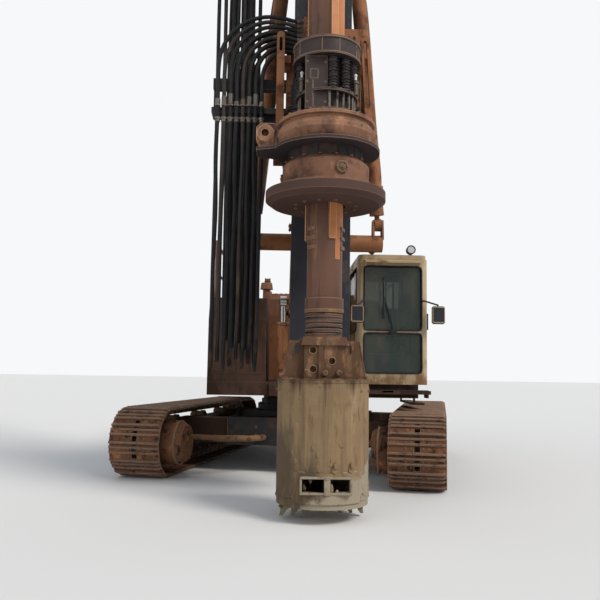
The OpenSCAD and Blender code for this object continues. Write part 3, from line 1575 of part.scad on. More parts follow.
// Bottom flap of the bucket with its two soil openings, teeth along their edges and the pilot point
module bucket_flap() {
    z1 = bucket_z - seat;
    z0 = z1 - flap_t;
    color(c_mud) {
        difference() {
            union() {
                translate([kelly_x, 0, z0])
                    cylinder(r = bucket_r - 5, h = flap_t, $fn = 72);
                translate([kelly_x, 0, z0 - 30])
                    cylinder(r1 = 150, r2 = 190, h = 31);
                bar_y(flap_pin_x, flap_pin_z, 38, 58);
                span([flap_pin_x, -58, flap_pin_z - 26], [kelly_x - bucket_r + 60, 58, flap_pin_z + 24]);
            }
            bar_y(flap_pin_x, flap_pin_z, 18 + pin_fit, 100);
            for (s = [-1, 1])
                translate([kelly_x, 0, z0 - 40])
                    linear_extrude(flap_t + 80)
                        polygon([[s * 50, s * 200], [s * 245, s * 150], [s * 300, s * 250], [s * 210, s * 370],
                            [s * 50, s * 415]]);
        }
        translate([kelly_x, 0, z0 - tooth_l])
            cylinder(r1 = 12, r2 = 95, h = tooth_l - 25);
        for (turn = [0, 180])
            translate([kelly_x, 0, 0])
                rotate([0, 0, turn]) {
                    plate_yz([[-436, z0 + 5], [-70, z0 + 5], [-62, z0 - 38], [-424, z0 - 62]], 22, 54);
                    for (y = [-418, -306, -194])
                        plate_yz([[y, z0 + 5], [y + 96, z0 + 5], [y + 88, z0 - 44], [y + 62, z0 - 58],
                            [y + 14, z0 - tooth_l], [y - 14, z0 - tooth_l + 4], [y - 4, z0 - 52]], 50, 108);
                }
    }
}

// Arm and clamp plates for the hoses on the sled's right side
module hose_bracket() {
    y0 = hose_mast_y;
    y1 = -upright_y1 - seat;
    beam_z0 = 4780;
    clamp_z = 4440;
    back_x = hose_x - hose_back;
    color(c_body) {
        span([sled_x0 + 30, y0, beam_z0], [upright_x1, y1, beam_z0 + 125]);
        difference() {
            span([sled_x0 + 10, y0, clamp_z], [hose_x - hose_r - 1, y1, clamp_z + 62]);
            span([back_x - hose_r - 2, y0 + 60, clamp_z - eps], [back_x + hose_r + 2, hose_y + 60, clamp_z + 70]);
        }
        span([sled_x0 + 50, y0 + 300, clamp_z - 70], [sled_x0 + 160, y1, clamp_z + 1]);
        for (y = [y0 + 30, -830])
            span([sled_x0 + 60, y - 22, clamp_z + 60], [sled_x0 + 110, y + 22, beam_z0 + 1]);
        for (i = [0:hose_n - 1])
            translate([hose_x - hose_r - 23, hose_y - i * hose_step, clamp_z + 60])
                cylinder(r = 16, h = 55, $fn = 6);
    }
}

// A ring of points round a place on a route, square to the route there
function hose_ring(p, d, r, sides) =
    let (side = cross(d, abs(d[2]) > 0.9 * norm(d) ? [0, 1, 0] : [0, 0, 1]), u = side / norm(side),
        w = cross(u, d / norm(d)))
    [for (k = [0:sides - 1]) p + r * (cos(k * 360 / sides) * u + sin(k * 360 / sides) * w)];

// The way a route runs at one of its points
function way(route, i) = i == 0 ? route[1] - route[0]
    : i == len(route) - 1 ? route[i] - route[i - 1]
    : (route[i + 1] - route[i]) / norm(route[i + 1] - route[i]) + (route[i] - route[i - 1]) / norm(route[i] - route[i - 1]);

// A hose along a route of points
module hose(route, r, sides = 8) {
    n = len(route);
    polyhedron(
        points = [for (i = [0:n - 1]) each hose_ring(route[i], way(route, i), r, sides)],
        faces = concat([[for (k = [0:sides - 1]) k]], [[for (k = [sides - 1:-1:0]) (n - 1) * sides + k]],
            [for (i = [0:n - 2]) for (k = [0:sides - 1])
                [i * sides + (k + 1) % sides, i * sides + k, (i + 1) * sides + k, (i + 1) * sides + (k + 1) % sides]]));
}

// Side place of a drive hose, and its forward place on the sled and on the mast
function hose_side(i) = hose_y - (i < hose_n ? i : i - hose_n + 1.5) * hose_step;
function hose_fore(i) = i < hose_n ? hose_x : hose_x - hose_back;
function hose_aft(i) = hose_mast_x + 70 - (i < hose_n ? hose_back : 0);

// Route of a drive hose from the sled's manifold in an arc to the side and down to the loop's lowest point
function drive_route(i) =
    let (y = hose_side(i), x = hose_fore(i), x0 = i < hose_n ? hose_exit_x : x, k = (hose_y - y) / hose_step,
        z = hose_exit_z + k * hose_exit_step, top = z + 20 + k * 5, y_top = -450 - k * 28,
        drop = 330 + k * 38, low = hose_low + hose_lift[i], half = (x - hose_aft(i)) / 2)
    concat([[x0, hose_exit_y - seat, z], [x0, hose_exit_y - 70, z], [x0, (hose_exit_y + y_top) / 2, z + 12 + k * 3]],
        [for (a = [0:22.5:90])
            [x0 + (x - x0) * a / 90, y_top + (y - y_top) * sin(a), top - drop + drop * cos(a)]],
        [[x, y, 4200], [x, y, 3400], [x - half * 0.02, y, low + 1100], [x - half * 0.09, y - 5, low + 620],
        [x - half * 0.3, y - 15, low + 250], [x - half * 0.66, y - 30, low + 50],
        [x - half + 20, y - 38, low], [x - half + 0.2, y - 38, low]]);

// Route of the same hose from the loop's lowest point up to the mast's bracket
function mast_route(i) =
    let (y = hose_side(i), x = hose_aft(i), low = hose_low + hose_lift[i], half = (hose_fore(i) - x) / 2)
    [[x + half - 0.2, y - 38, low], [x + half - 20, y - 38, low], [x + half * 0.66, y - 46, low + 50],
        [x + half * 0.3, y - 60, low + 250], [x + half * 0.09, y - 70, low + 620],
        [x, y - hose_slant, low + 1100], [x, y - hose_slant, 6000], [x, y - hose_slant, 7300],
        [x, y - hose_slant, hose_hang_z - seat]];

module drive_hoses() {
    color(c_black)
        for (i = [0:hose_n + hose_back_n - 1])
            hose(drive_route(i), hose_r);
}

module mast_hoses() {
    color(c_black)
        for (i = [0:hose_n + hose_back_n - 1])
            hose(mast_route(i), hose_r);
}

// Route of a travel motor's hoses to the carbody, on the left side
travel_start = track_gauge / 2 - motor_cover_in;
sleeve_front = sleeve_gap / 2 + sleeve_a / 2;
function travel_route(end_z) =
    [[1980, travel_start - seat, 560], [1980, travel_start - 80, 560], [1948, travel_start - 165, 555],
        [1875, travel_start - 265, 545], [1790, travel_start - 380, 530], [1700, travel_start - 500, 525],
        [1615, travel_start - 620, (525 + end_z) / 2], [1535, travel_start - 740, end_z - 5],
        [1460, travel_start - 850, end_z], [1400, travel_start - 890, end_z],
        [1350, travel_start - 900, end_z], [sleeve_front + seat, travel_start - 900, end_z]];

module travel_hose_left() {
    color(c_black)
        under()
            hose(travel_route(700), travel_hose_d / 2, 10);
}

module travel_hose_right() {
    color(c_black)
        under()
            mirror([0, 1, 0])
                hose(travel_route(520), travel_hose_d / 2, 10);
}

carbody();
track_frame_left();
track_frame_right();
rollers_left();
rollers_right();
track_left();
track_right();
upper_frame();
counterweight();
engine_house();
engine();
tank_box();
valve_box();
house_door_left();
house_door_right();
cab_shell();
cab_glass();
cab_seat();
cab_door();
cab_steps();
boom();
boom_barrels();
boom_rods();
support_rods();
triangle();
mast_barrels();
mast_rod_left();
mast_rod_right();
mast_lower();
mast_middle();
mast_upper();
mast_head();
crowd_barrel();
winch_main();
winch_aux();
sheave_front();
sheave_rear();
drive_sled();
gear_housing();
drive_motors();
drive_sleeve();
spring_basket();
kelly_guide();
kelly_outer();
kelly_middle();
kelly_core();
bucket();
bucket_flap();
hose_bracket();
drive_hoses();
mast_hoses();
travel_hose_left();
travel_hose_right();
cab_fittings();
handrails();
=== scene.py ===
"""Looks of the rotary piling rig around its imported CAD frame. Metres, in the part's own frame."""
import json
import random
from itertools import product
from math import atan2, cos, degrees, pi, radians, sin, sqrt

import bpy
from mathutils import Matrix, Vector


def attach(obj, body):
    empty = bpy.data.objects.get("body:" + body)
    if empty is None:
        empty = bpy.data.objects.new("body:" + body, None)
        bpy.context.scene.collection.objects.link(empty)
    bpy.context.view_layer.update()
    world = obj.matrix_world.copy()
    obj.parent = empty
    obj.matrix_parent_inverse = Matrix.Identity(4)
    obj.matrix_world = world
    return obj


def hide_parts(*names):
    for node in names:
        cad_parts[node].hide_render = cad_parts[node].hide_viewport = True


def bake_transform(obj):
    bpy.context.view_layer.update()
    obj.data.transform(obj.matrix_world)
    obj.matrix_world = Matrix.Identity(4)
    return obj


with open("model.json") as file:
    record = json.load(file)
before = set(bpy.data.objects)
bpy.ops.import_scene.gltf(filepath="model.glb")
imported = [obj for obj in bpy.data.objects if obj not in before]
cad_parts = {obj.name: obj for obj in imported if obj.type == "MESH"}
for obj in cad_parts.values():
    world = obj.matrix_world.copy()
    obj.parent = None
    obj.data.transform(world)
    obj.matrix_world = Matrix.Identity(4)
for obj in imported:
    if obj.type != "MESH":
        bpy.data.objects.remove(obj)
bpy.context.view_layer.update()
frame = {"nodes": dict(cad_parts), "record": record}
NODES = frame["nodes"]
IDENTITY = Matrix.Identity(4)
SIDES, NAMED_SIDES = (-1, 1), ((1, "left"), (-1, "right"))
UP, DOWN, AHEAD, BACK = (0, 0, 1), (0, 0, -1), (1, 0, 0), (-1, 0, 0)
AXIS = 4.13          # x of the kelly bar's axis
TRACK_TURN = -13.3   # degrees by which the undercarriage stands turned


def cosd(a):
    return cos(radians(a))


def sind(a):
    return sin(radians(a))


def shift(*at):
    return Matrix.Translation(at)


def spin(a, axis):
    return Matrix.Rotation(radians(a), 4, axis)


UNDER = spin(TRACK_TURN, "Z")


def facing(at, way):
    """A place whose local z runs along a direction."""
    m = Vector(way).normalized().to_track_quat("Z", "Y").to_matrix().to_4x4()
    m.translation = Vector(at)
    return m


def new_object(name, data):
    obj = bpy.data.objects.new(name, data)
    bpy.context.scene.collection.objects.link(obj)
    return obj


# Camera, as fitted to the photograph

FOCAL_PX, IMAGE_PX = 682.63, 600
CAMERA_AT = (11.3153, -0.4598, 1.4937)
YAW, PITCH, ROLL = 0.0283, 0.1031, 0.0153   # radians


def set_camera():
    forward = Vector((-cos(YAW) * cos(PITCH), sin(YAW) * cos(PITCH), sin(PITCH)))
    side = Vector((sin(YAW), cos(YAW), 0))
    top = side.cross(forward)
    right = cos(ROLL) * side + sin(ROLL) * top
    up = -sin(ROLL) * side + cos(ROLL) * top
    data = bpy.data.cameras.new("camera")
    data.sensor_width = 36
    data.lens = 36 * FOCAL_PX / IMAGE_PX
    data.clip_start, data.clip_end = 0.05, 400
    cam = new_object("camera", data)
    m = Matrix((right, up, -forward)).transposed().to_4x4()
    m.translation = CAMERA_AT
    cam.matrix_world = m
    bpy.context.scene.camera = cam


set_camera()


# Building meshes

class Shape:
    """Collects simple forms into one mesh."""

    def __init__(self):
        self.verts, self.faces = [], []

    def add(self, verts, faces, m=IDENTITY):
        base = len(self.verts)
        self.verts += [tuple(m @ Vector(v)) for v in verts]
        self.faces += [tuple(base + i for i in f) for f in faces]
        return self

    def box(self, a, b, m=IDENTITY, cut=0.004):
        """A box with its edges cut off at 45 degrees."""
        lo, hi = [min(p) for p in zip(a, b)], [max(p) for p in zip(a, b)]
        c = min([cut] + [(h - l) * 0.3 for l, h in zip(lo, hi)])
        verts, at, faces = [], {}, []
        for s in product((0, 1), repeat=3):
            for keep in range(3):
                at[s, keep] = len(verts)
                verts.append([(hi[i] if s[i] else lo[i]) if i == keep else
                              (hi[i] - c if s[i] else lo[i] + c) for i in range(3)])
        for ax in range(3):
            u, v = (ax + 1) % 3, (ax + 2) % 3

            def corner(end, pu, pv):
                s = [0, 0, 0]
                s[ax], s[u], s[v] = end, pu, pv
                return tuple(s)

            for end in (0, 1):
                ring = [at[corner(end, *p), ax] for p in ((0, 0), (1, 0), (1, 1), (0, 1))]
                faces.append(ring if end else ring[::-1])
            for p in product((0, 1), repeat=2):
                s0, s1 = corner(0, *p), corner(1, *p)
                ring = [at[s0, u], at[s1, u], at[s1, v], at[s0, v]]
                faces.append(ring if sum(p) % 2 == 0 else ring[::-1])
        for s in product((0, 1), repeat=3):
            ring = [at[s, k] for k in range(3)]
            faces.append(ring if sum(s) % 2 else ring[::-1])
        return self.add(verts, faces, m)

    def prism(self, outline, lo, hi, m=IDENTITY):
        """A flat plate: outline in local x and y, from lo to hi along local z."""
        n = len(outline)
        verts = [(x, y, z) for z in (lo, hi) for x, y in outline]
        faces = [tuple(range(n))[::-1], tuple(range(n, 2 * n))]
        faces += [(i, (i + 1) % n, n + (i + 1) % n, n + i) for i in range(n)]
        return self.add(verts, faces, m)

    def lathe(self, profile, m=IDENTITY, n=24, turn=0.0, closed=False):
        """A turned form round local z, from points of radius and height."""
        p = len(profile)
        verts = [(r * cos(2 * pi * k / n + turn), r * sin(2 * pi * k / n + turn), h)
                 for r, h in profile for k in range(n)]
        faces = [(i * n + k, i * n + (k + 1) % n, (i + 1) % p * n + (k + 1) % n, (i + 1) % p * n + k)
                 for i in range(p if closed else p - 1) for k in range(n)]
        if not closed and profile[0][0] > 1e-6:
            faces.append(tuple(range(n))[::-1])
        if not closed and profile[-1][0] > 1e-6:
            faces.append(tuple((p - 1) * n + k for k in range(n)))
        return self.add(verts, faces, m)

    def ring(self, profile, m=IDENTITY, n=24):
        """A turned form with a closed profile."""
        return self.lathe(profile, m, n, closed=True)

    def collar(self, inner, outer, z0, z1, m=IDENTITY, n=24):
        return self.ring([(inner, z0), (outer, z0), (outer, z1), (inner, z1)], m, n)

    def tube(self, points, r, sides=8):
        """A round tube along points. r is a radius, or one radius per point."""
        pts = [Vector(p) for p in points]
        n = len(pts)
        ways = [(pts[min(i + 1, n - 1)] - pts[max(i - 1, 0)]).normalized() for i in range(n)]
        u = ways[0].orthogonal().normalized()
        verts = []
        for i, (p, d) in enumerate(zip(pts, ways)):
            u = (u - d * u.dot(d)).normalized()
            w = d.cross(u)
            rad = r[i] if isinstance(r, (list, tuple)) else r
            for k in range(sides):
                a = 2 * pi * k / sides
                verts.append(p + rad * (cos(a) * u + sin(a) * w))
        faces = [(i * sides + k, i * sides + (k + 1) % sides, (i + 1) * sides + (k + 1) % sides,
                  (i + 1) * sides + k) for i in range(n - 1) for k in range(sides)]
        faces += [tuple(range(sides))[::-1], tuple((n - 1) * sides + k for k in range(sides))]
        return self.add(verts, faces)

    def pipe(self, points, r=0.012):
        """A bent pipe, smooth through its points."""
        return self.tube(smooth_path(points, 0.04), r)

    def bolt(self, at, way, size=0.015, washer=True):
        """A hexagon head on its washer. size is the head's radius."""
        m = facing(at, way)
        if washer:
            self.lathe([(size * 1.35, 0), (size * 1.35, size * 0.2), (size, size * 0.22)], m, 12)
        return self.lathe([(size, size * 0.1), (size, size * 0.75), (size * 0.8, size * 0.95)], m, 6,
                          turn=(at[0] * 7 + at[2] * 5) % 1)

    def bolts(self, xs, ys, zs, way, size):
        """Bolts at every crossing of rows."""
        for at in product(xs, ys, zs):
            self.bolt(at, way, size)

    def bolt_circle(self, centre, way, radius, count, size, start=0.0):
        """Bolts round a circle that faces a way."""
        m = facing(centre, way)
        for i in range(count):
            a = start + 360.0 * i / count
            self.bolt(m @ Vector((radius * cosd(a), radius * sind(a), 0)), way, size)

    def weld(self, points, r=0.006):
        """A weld bead along points, a little uneven."""
        dense = []
        for a, b in zip(points, points[1:]):
            a, b = Vector(a), Vector(b)
            n = max(1, int((b - a).length / 0.03))
            dense += [a.lerp(b, i / n) for i in range(n)]
        dense.append(Vector(points[-1]))
        return self.tube(dense, [r * (0.85 + 0.3 * ((i * 7919) % 5) / 4) for i in range(len(dense))], 5)


def shapes(count):
    """Several empty shapes."""
    return [Shape() for _ in range(count)]


def piece(name, shape, body, look, replaces=()):
    """Makes an object of a shape and hangs it on its body, if one is given."""
    mesh = bpy.data.meshes.new(name)
    mesh.from_pydata(shape.verts, [], shape.faces)
    mesh.validate()
    mesh.update()
    obj = new_object(name, mesh)
    mesh.materials.append(LOOKS[look])
    mesh.shade_smooth()
    mesh.set_sharp_from_angle(angle=radians(35))
    if body:
        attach(obj, body)
    if replaces:
        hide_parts(*replaces)
    return obj


def smooth_path(points, step=0.05):
    """A smooth curve through points, about step apart."""
    pts = [Vector(p) for p in points]
    pts = [2 * pts[0] - pts[1]] + pts + [2 * pts[-1] - pts[-2]]
    out = []
    for i in range(1, len(pts) - 2):
        p0, p1, p2, p3 = pts[i - 1:i + 3]
        a, b, c = (max((q - p).length, 1e-6) ** 0.5 for p, q in ((p0, p1), (p1, p2), (p2, p3)))
        m1 = (p2 - p1) + b * ((p1 - p0) / a - (p2 - p0) / (a + b))
        m2 = (p2 - p1) + b * ((p3 - p2) / c - (p3 - p1) / (b + c))
        n = max(2, round((p2 - p1).length / step))
        for k in range(n):
            t = k / n
            out.append((2 * t ** 3 - 3 * t ** 2 + 1) * p1 + (t ** 3 - 2 * t ** 2 + t) * m1
                       + (-2 * t ** 3 + 3 * t ** 2) * p2 + (t ** 3 - t ** 2) * m2)
    return out + [pts[-2]]


def path_length(points):
    return sum((b - a).length for a, b in zip(points, points[1:]))


def around(a, r, z):
    """A point round the kelly's axis."""
    return Vector((AXIS + r * cosd(a), r * sind(a), z))


def outward(a):
    """The direction away from the kelly's axis."""
    return around(a, 1, 0) - around(a, 0, 0)


def circle(r, z, step):
    """Points all round the kelly's axis, step degrees apart."""
    return [around(a, r, z) for a in range(0, 361, step)]


# Materials

ROUND, DRIPS, TALL, FLAT = (1, 1, 1), (1, 1, 0.12), (1, 1, 0.4), (1, 1, 0.5)
PATCHES = 1.3        # cycles per metre of the two base colours
EDGE_WEAR_AND_HIGHLIGHT = 0.012    # width of the lightened edges: worn paint, and on the track a painted highlight
BUMP_DEPTH = 0.004
LOOKS = {}


def node(tree, kind, inputs, out=0, **settings):
    """A shader node, its inputs linked or set. Returns one of its outputs."""
    made = tree.nodes.new("ShaderNode" + kind)
    for key, value in settings.items():
        setattr(made, key, value)
    for key, value in inputs.items():
        if isinstance(value, bpy.types.NodeSocket):
            tree.links.new(value, made.inputs[key])
        else:
            made.inputs[key].default_value = value
    return made.outputs[out]


def noise(tree, coord, scale, stretch=ROUND, detail=6.0, rough=0.6, seed=0.0):
    """Noise in the part's own frame, in cycles per metre."""
    at = node(tree, "Mapping", {"Vector": coord, "Scale": [scale * s for s in stretch],
                                "Location": (seed, seed * 1.7, seed * 0.6)})
    return node(tree, "TexNoise", {"Vector": at, "Scale": 1.0, "Detail": detail, "Roughness": rough}, "Fac")


def remap(tree, value, lo, hi, out_lo=0.0, out_hi=1.0):
    return node(tree, "MapRange", {"Value": value, "From Min": lo, "From Max": hi, "To Min": out_lo,
                                   "To Max": out_hi}, "Result")


def calc(tree, a, b, kind="MULTIPLY"):
    return node(tree, "Math", {0: a, 1: b}, operation=kind)


def mixed(tree, fac, a, b):
    """Mixes two colours."""
    a, b = ((*v, 1) if isinstance(v, tuple) else v for v in (a, b))
    return node(tree, "Mix", {0: fac, 6: a, 7: b}, 2, data_type="RGBA")


def dot(tree, a, b):
    return node(tree, "VectorMath", {0: a, 1: b}, "Value", operation="DOT_PRODUCT")


def tone(colour):
    """A colour given as it looks on a screen, 0 to 255."""
    return tuple(((c / 255 + 0.055) / 1.055) ** 2.4 if c > 10 else c / 255 / 12.92 for c in colour)


def new_material(name):
    """An empty material, its tree, its shader and the place on the part."""
    mat = bpy.data.materials.new(name)
    mat.use_nodes = True
    tree = mat.node_tree
    return mat, tree, tree.nodes["Principled BSDF"], node(tree, "TexCoord", {}, "Object")


def finish(key, name, base, second, *layers, rough=(0.45, 0.7), metallic=0.0, bump=0.3, grain=60.0,
           edge=None, soft=1.0, specular=0.28):
    """A worn surface: two mixed base colours, then layers over them: rust, mud, dust and stains, and on two castings a
    band of painted shade underneath.

    A layer is (colour, share covered, scale, stretch, roughness, near, far, direction). It is thick
    where the distance along the direction is below near, and gone above far. The direction is up
    unless given, and without near and far the layer is everywhere.
    """
    mat, tree, shader, coord = new_material(name)
    cloud = noise(tree, coord, PATCHES, detail=5, seed=len(name))
    colour = mixed(tree, remap(tree, cloud, 0.38, 0.62), tone(base), tone(second))
    height = noise(tree, coord, grain, detail=4, seed=3.1)
    roughness = remap(tree, noise(tree, coord, PATCHES * 6, seed=8.3), 0.3, 0.7, *rough)
    for i, (c, share, scale, stretch, layer_rough, *fade) in enumerate(layers):
        field = noise(tree, coord, scale, stretch, detail=8, rough=0.65, seed=i * 5.3 + 1)
        if fade:
            near, far, way = (*fade, UP)[:3]
            field = calc(tree, field, remap(tree, dot(tree, coord, way), near, far, 0.16, -0.35), "ADD")
        at = 0.5 + (0.5 - share) * 0.5
        fac = remap(tree, field, at - 0.03 * soft, at + 0.045 * soft)
        colour = mixed(tree, fac, colour, tone(c))
        roughness = node(tree, "Mix", {0: fac, 2: roughness, 3: layer_rough})
        height = calc(tree, height, calc(tree, fac, 0.5), "ADD")
    # Lightened edges: worn paint, and on the track's shoes and bars a painted highlight
    if edge:
        bevel = node(tree, "Bevel", {"Radius": EDGE_WEAR_AND_HIGHLIGHT}, samples=3)
        bent = dot(tree, bevel, node(tree, "NewGeometry", {}, "Normal"))
        worn = remap(tree, calc(tree, bent, calc(tree, cloud, 0.1), "SUBTRACT"), 0.93, 0.82)
        colour = mixed(tree, worn, colour, tone(edge))
    shader.inputs["Metallic"].default_value = metallic
    shader.inputs["Specular IOR Level"].default_value = specular
    normal = node(tree, "Bump", {"Strength": bump, "Distance": BUMP_DEPTH, "Height": height}, "Normal")
    for socket, value in (("Base Color", colour), ("Roughness", roughness), ("Normal", normal)):
        tree.links.new(value, shader.inputs[socket])
    LOOKS[key] = mat


RUST, RUST_DARK, OIL = (96, 58, 38), (56, 38, 29), (28, 23, 21)
MUD, MUD_DARK, DUST = (124, 94, 66), (80, 57, 40), (150, 124, 94)
STREAK, DARK_STREAK = (1, 1, 0.07), (1, 1, 0.06)
CAST = (((172, 124, 90), 0.30, 6.0, (1, 1, 0.6), 0.8), ((70, 47, 37), 0.34, 3.2, ROUND, 0.9),
        (OIL, 0.12, 2.0, DRIPS, 0.4))
CASTING = dict(rough=(0.55, 0.85), bump=0.5, soft=2.4)
SHADED = dict(rough=(0.5, 0.8), bump=0.4, soft=2.0)
CAKED = dict(rough=(0.8, 0.95), bump=0.9, grain=35.0)
GREASED = dict(rough=(0.38, 0.6), soft=1.6)

finish("paint_body", "worn_orange", (154, 100, 62), (122, 80, 52), (RUST, 0.40, 2.6, ROUND, 0.85),
       (RUST_DARK, 0.26, 5.0, DRIPS, 0.8), (MUD, 0.26, 3.0, FLAT, 0.95, 0.8, 3.2), edge=(120, 84, 60), soft=1.5)
# A darker copy of the orange paint for the engine house, its doors and the counterweight, between the paint's own
# colour and its shade: partly painted shade, with rust and dirt over it
finish("paint_house", "sooty_orange", (118, 76, 47), (92, 60, 40), (RUST, 0.36, 2.6, ROUND, 0.85),
       (RUST_DARK, 0.34, 5.0, DRIPS, 0.8), (MUD_DARK, 0.26, 3.0, FLAT, 0.95, 1.2, 2.8), edge=(116, 82, 58),
       soft=1.5)
# A darkened copy of the orange paint for the tank box, frames, valve box and steps: painted shade, with streaks, oil
# drips and dirt over it
finish("paint_box", "dirty_orange", (76, 50, 34), (52, 36, 27), ((110, 70, 44), 0.22, 3.4, TALL, 0.8),
       (OIL, 0.26, 5.0, DRIPS, 0.7), ((54, 36, 25), 0.34, 3.0, FLAT, 0.95, 1.0, 2.4), edge=(90, 62, 44), soft=1.5)
finish("paint_dark", "worn_navy", (44, 45, 52), (34, 34, 40), ((70, 63, 58), 0.28, 2.2, ROUND, 0.8),
       (RUST, 0.12, 6.0, DRIPS, 0.85), (MUD_DARK, 0.30, 3.0, TALL, 0.95, 0.6, 2.6), edge=(86, 80, 78))
finish("beam_dark", "dark_beam", (40, 37, 38), (30, 28, 29), ((70, 60, 52), 0.26, 5.0, ROUND, 0.8),
       (RUST, 0.14, 7.0, ROUND, 0.85), edge=(90, 82, 76))
finish("rust_cast", "rusty_casting", (148, 105, 78), (122, 86, 65), *CAST, edge=(164, 126, 100), **CASTING)
# The gear housing: a near-black band below z 3.862 to 3.885 is painted shade on its underside
finish("housing_cast", "housing_casting", (148, 105, 78), (122, 86, 65), *CAST,
       ((54, 44, 45), 0.95, 3.0, ROUND, 0.8, 3.862, 3.885), edge=(164, 126, 100), **CASTING)
finish("ear_cast", "ear_casting", (158, 118, 90), (136, 100, 76), ((96, 66, 50), 0.30, 9.0, ROUND, 0.9),
       edge=(184, 152, 124), **CASTING)
# The drive sleeve: a dark band below z 3.375 to 3.4 is painted shade under the disc
finish("sleeve_cast", "sleeve_casting", (130, 90, 66), (106, 73, 55), ((160, 116, 88), 0.26, 7.0, (1, 1, 0.6), 0.8),
       ((66, 44, 36), 0.36, 3.2, ROUND, 0.9), ((74, 52, 44), 1.0, 3.0, ROUND, 0.75, 3.375, 3.400),
       rough=(0.5, 0.8), bump=0.5, soft=2.0, edge=(136, 102, 82))
finish("under_cast", "shaded_casting", (54, 44, 42), (38, 33, 35), ((80, 58, 46), 0.30, 5.0, ROUND, 0.85),
       **SHADED)
# Near-black carbody: painted shade beneath the upper carriage, with rusty patches
finish("carbody_dark", "dark_carbody", (34, 30, 32), (26, 23, 25), ((70, 50, 38), 0.26, 4.0, ROUND, 0.9),
       edge=(66, 54, 48), **SHADED)
finish("track_steel", "muddy_track", (112, 74, 48), (84, 55, 38), ((166, 108, 68), 0.30, 4.0, ROUND, 0.95),
       ((46, 31, 22), 0.38, 8.0, ROUND, 0.9), rough=(0.6, 0.9), bump=0.8, grain=45.0, edge=(140, 116, 96),
       soft=1.4)
# The track's bars: lighter than the shoes and with bright edges, a painted highlight on their lit faces
finish("track_bar", "track_bar", (122, 93, 74), (98, 74, 60), ((62, 46, 39), 0.34, 8.0, ROUND, 0.9),
       rough=(0.55, 0.85), bump=0.7, grain=45.0, edge=(166, 138, 112), soft=1.4)
finish("kelly_steel", "kelly_brown", (98, 66, 49), (82, 55, 42), ((152, 106, 72), 0.28, 3.5, (1, 1, 0.10), 0.6),
       ((70, 47, 37), 0.32, 7.0, (1, 1, 0.14), 0.7), edge=(170, 128, 98), **GREASED)
finish("kelly_key", "kelly_orange", (190, 122, 72), (168, 105, 62), ((132, 84, 54), 0.24, 4.0, DRIPS, 0.6),
       (RUST, 0.12, 9.0, (1, 1, 0.2), 0.85), edge=(212, 160, 112), **GREASED)
finish("rod_chrome", "cylinder_rod", (186, 184, 180), (168, 166, 162),
       ((110, 96, 84), 0.12, 8.0, (1, 1, 0.2), 0.5), rough=(0.14, 0.28), metallic=1.0, bump=0.05, specular=0.5)
finish("cab_paint", "cab_cream", (182, 162, 128), (162, 140, 108), ((126, 98, 70), 0.38, 3.0, DRIPS, 0.8),
       (RUST, 0.12, 9.0, ROUND, 0.85), (MUD, 0.34, 3.5, FLAT, 0.95, 1.2, 2.3), rough=(0.35, 0.6),
       edge=(136, 108, 84), soft=1.6)
finish("seat_black", "seat_cover", (34, 34, 37), (26, 26, 29), ((64, 56, 48), 0.24, 6.0, ROUND, 0.9),
       rough=(0.5, 0.7), grain=240.0, bump=0.35)
finish("mud_steel", "muddy_bucket", (140, 115, 85), (124, 102, 75), ((156, 133, 102), 0.32, 6.0, STREAK, 0.95),
       ((104, 85, 63), 0.34, 11.0, DARK_STREAK, 0.95),
       ((76, 56, 40), 0.26, 7.0, (1, 1, 0.10), 0.95, -1.39, -1.05, DOWN),
       ((88, 74, 56), 0.50, 4.5, (1, 1, 0.3), 0.9, 0.12, 0.75, (0, 1, 0.8)),
       ((148, 136, 116), 0.55, 7.0, ROUND, 0.95, 0.22, 0.46, (0, -0.6, 1)),
       ((98, 68, 44), 0.20, 9.0, (1, 1, 0.3), 0.9), ((88, 64, 46), 0.75, 5.0, ROUND, 0.9, -1.445, -1.375, DOWN),
       ((146, 110, 80), 0.06, 8.0, TALL, 0.9, -1.445, -1.375, DOWN), soft=2.6, **CAKED)
finish("pale_mud", "pale_mud", (150, 138, 118), (120, 106, 86), ((92, 78, 60), 0.34, 9.0, ROUND, 0.95),
       soft=2.0, **CAKED)
finish("head_steel", "rusty_head", (108, 82, 60), (86, 64, 47), ((144, 112, 84), 0.34, 5.0, ROUND, 0.95),
       (RUST_DARK, 0.30, 4.0, ROUND, 0.9), rough=(0.7, 0.9), bump=0.7, edge=(150, 124, 98), soft=1.6)
finish("worn_edge", "worn_edge", (138, 108, 88), (106, 82, 68), (RUST_DARK, 0.26, 8.0, ROUND, 0.85))
finish("basket_brown", "basket_brown", (58, 46, 42), (46, 37, 35), ((112, 88, 72), 0.20, 7.0, TALL, 0.8),
       (OIL, 0.22, 5.0, DRIPS, 0.5), edge=(142, 116, 98), soft=2.0)
finish("zinc", "zinc_fitting", (112, 106, 100), (80, 74, 68), ((78, 62, 50), 0.34, 14.0, ROUND, 0.8),
       rough=(0.3, 0.5), metallic=0.5)
finish("hose_rubber", "hose_rubber", (20, 20, 23), (28, 26, 27), ((66, 50, 38), 0.22, 5.0, (1, 1, 0.15), 0.9, 1.4, 4.5),
       ((56, 50, 46), 0.12, 9.0, DRIPS, 0.8), rough=(0.5, 0.75), bump=0.15, grain=180.0, specular=0.22)
finish("hose_worn", "hose_worn", (44, 34, 29), (29, 26, 26), ((90, 72, 56), 0.26, 4.0, (1, 1, 0.10), 0.85),
       rough=(0.4, 0.65), bump=0.15, grain=180.0)
finish("travel_sleeve", "muddy_sleeve", (122, 92, 62), (96, 70, 48), ((60, 44, 34), 0.3, 7.0, ROUND, 0.9),
       rough=(0.7, 0.9), bump=0.6)
finish("wire_rope", "wire_rope", (62, 58, 54), (44, 41, 39), ((96, 82, 68), 0.25, 9.0, ROUND, 0.7),
       rough=(0.35, 0.55), metallic=0.5)
